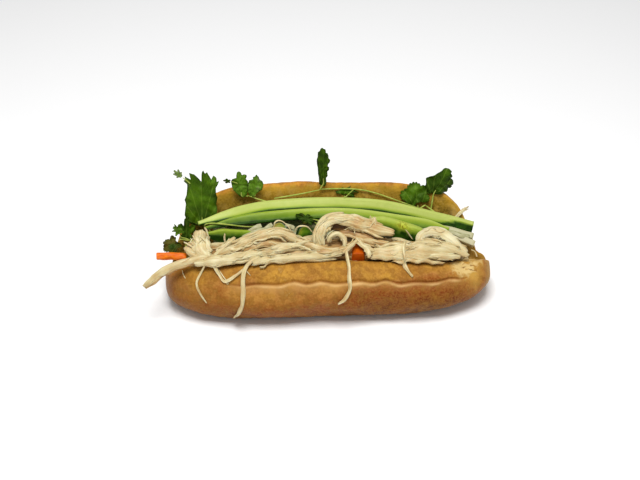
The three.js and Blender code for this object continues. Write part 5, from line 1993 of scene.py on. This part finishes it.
# %% Sprigs on the right half
SPRIGS |= {
    "cilantro_middle": ([
        [(-3.5, 31, 61.3), (3, 32.6, 60.3), (20, 32.5, 59.5), (34, 31, 57), (54, 26.5, 51), (71, 22, 46)],
    ], [
        ((20, 32.5, 59.5), (14, 32.5, 58), (0.2, 0.8, 0.5), 23, 12.5, THREE_LOBES,
         {"facing": (0, -0.6, 0.8), "tone": 0.4}),
    ]),
    "cilantro_right": ([[(78, 22, 43.5), (74, 24, 46), (70, 26, 48.5)]], [
        ((70, 26, 48.5), (64, 28.3, 54.5), (-0.1, 0.57, 0.82), 24, 22, FAN,
         {"curl": 0.25, "frill": 0.03, "tone": 0.52}),
        ((74, 24, 46), (80.3, 30.9, 64), (0.45, 0.2, 0.85), 20.5, 23, CURLED,
         {"facing": (0.2, -0.9, 0.4), "curl": 0.35, "frill": 0.06, "tone": 0.32}),
    ]),
    "cilantro_inner": ([[(4, 9, 47), (-4, 8, 51), (-10, 8, 53)]], [
        ((-6, 8, 52), (-13.5, 8, 53), (-0.85, 0.4, 0.2), 9, 19, FRILLS,
         # The low tone of this leaf is partly painted shade under the middle slice.
         {"facing": (0, -0.5, 0.85), "curl": 0.3, "frill": 0.12, "tone": 0.2}),
    ]),
}
print("sprigs in all:", len(SPRIGS))


# %% [markdown]
# ## Veins
# The veins of a leaf fan out from its foot, and side veins leave each of them at an angle. Both are worked
# out from the blade's own UV map: the angle round the foot gives the main veins, and the distance along and
# across one of them gives the side veins. That costs no points in the mesh and stays sharp close up.

# %% Main and side veins
VEIN_ANGLE = 0.42  # radians between two main veins
VEIN_WIDTH = 0.02  # in shares of the leaf
SIDE_VEINS = 9.0  # side veins along a leaf
SIDE_VEIN_SLANT = 1.3


def off_middle(tree, value):
    """How far a value lies from the middle between two whole numbers."""
    return sum_of(tree, "ABSOLUTE", sum_of(tree, "SUBTRACT", sum_of(tree, "FRACT", value), 0.5))


def vein_group():
    """Lines that fan out over a leaf, and fainter ones between them."""
    tree, entry, exit_node = group("veins", {"Width": VEIN_WIDTH})
    across, forward, _ = axes_of(tree, add(tree, "UVMap", props={"uv_map": "blade"}))
    x = sum_of(tree, "SUBTRACT", across, 0.5)
    y = sum_of(tree, "ADD", forward, 0.02)
    angle = sum_of(tree, "ARCTAN2", x, y)
    squares = [times(tree, part, part) for part in (x, y)]
    far = sum_of(tree, "SQRT", sum_of(tree, "ADD", *squares))
    off = off_middle(tree, sum_of(tree, "ADD", sum_of(tree, "DIVIDE", angle, VEIN_ANGLE), 0.5))
    aside = times(tree, times(tree, off, VEIN_ANGLE), far)
    main = spread(tree, aside, 0.3 * VEIN_WIDTH, entry.outputs["Width"], 1.0, 0.0)
    slanted = sum_of(tree, "SUBTRACT", far, times(tree, aside, SIDE_VEIN_SLANT))
    line = off_middle(tree, times(tree, slanted, SIDE_VEINS))
    small = spread(tree, line, 0.0, 0.09, 0.55, 0.0)
    tree.links.new(sum_of(tree, "MAXIMUM", main, small), exit_node.inputs[0])
    return tree


GROUPS["veins"] = vein_group()


print("node groups:", sorted(GROUPS))


# %% The finish of the leaves
GREENS = (  # a wilted leaf, then dark ones, then pale young ones
    (0, "55481a"), (0.14, "1f3408"), (0.35, "304c0a"), (0.55, "486a08"), (0.8, "628a26"), (1, "87955e"),
)


def leaf_finish():
    material, tree, shader = finish(
        "cilantro", 0.5, Specular_IOR_Level=0.15, Specular_Tint=(0.8, 1.0, 0.4, 1.0),
        Subsurface_Weight=0.1, Subsurface_Radius=(0.3, 0.8, 0.1), Subsurface_Scale=0.001,
    )
    veins = effect(tree, "veins", Width=0.018)
    blotches = effect(tree, "blotches", Size=4.0, Detail=4.0, Sharpness=0.25)
    base = ramp(tree, attribute(tree, "tone"), *GREENS)
    mottled = stained(tree, base, blotches, 0.5, "263e06")
    edged = stained(tree, mottled, attribute(tree, "edge"), 0.55, "162806")
    veined = stained(tree, edged, veins, 0.2, "86a03c")
    stem = mixed(tree, blotches, "869a3a", "b6be60")
    tree.links.new(mixed(tree, attribute(tree, "stalk"), veined, stem), shader.inputs["Base Color"])
    raised(tree, shader, veins, 0.0003, -0.5)
    return material


leaf_look = leaf_finish()
print("leaf finish:", leaf_look.name)


# %% Make the sprigs
for name, (stems, leaves) in SPRIGS.items():
    parts = [stalk(points) for points in stems]
    for *sizes, more in leaves:
        parts += leaf(*sizes, **more)
    put(joined(name + "_sprig", parts), leaf_look, "cilantro", name)


# %% [markdown]
# ## The size of it all
# The dressed sandwich has to stay inside the box of the solid model. Both boxes are measured, and the
# largest difference between them is printed.

# %% Compare the sizes
shown_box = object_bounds()
largest = max(abs(s - c) for shown, solid in zip(shown_box, solid_box) for s, c in zip(shown, solid))
print("the boxes differ by at most", round(largest / MM, 2), "mm")
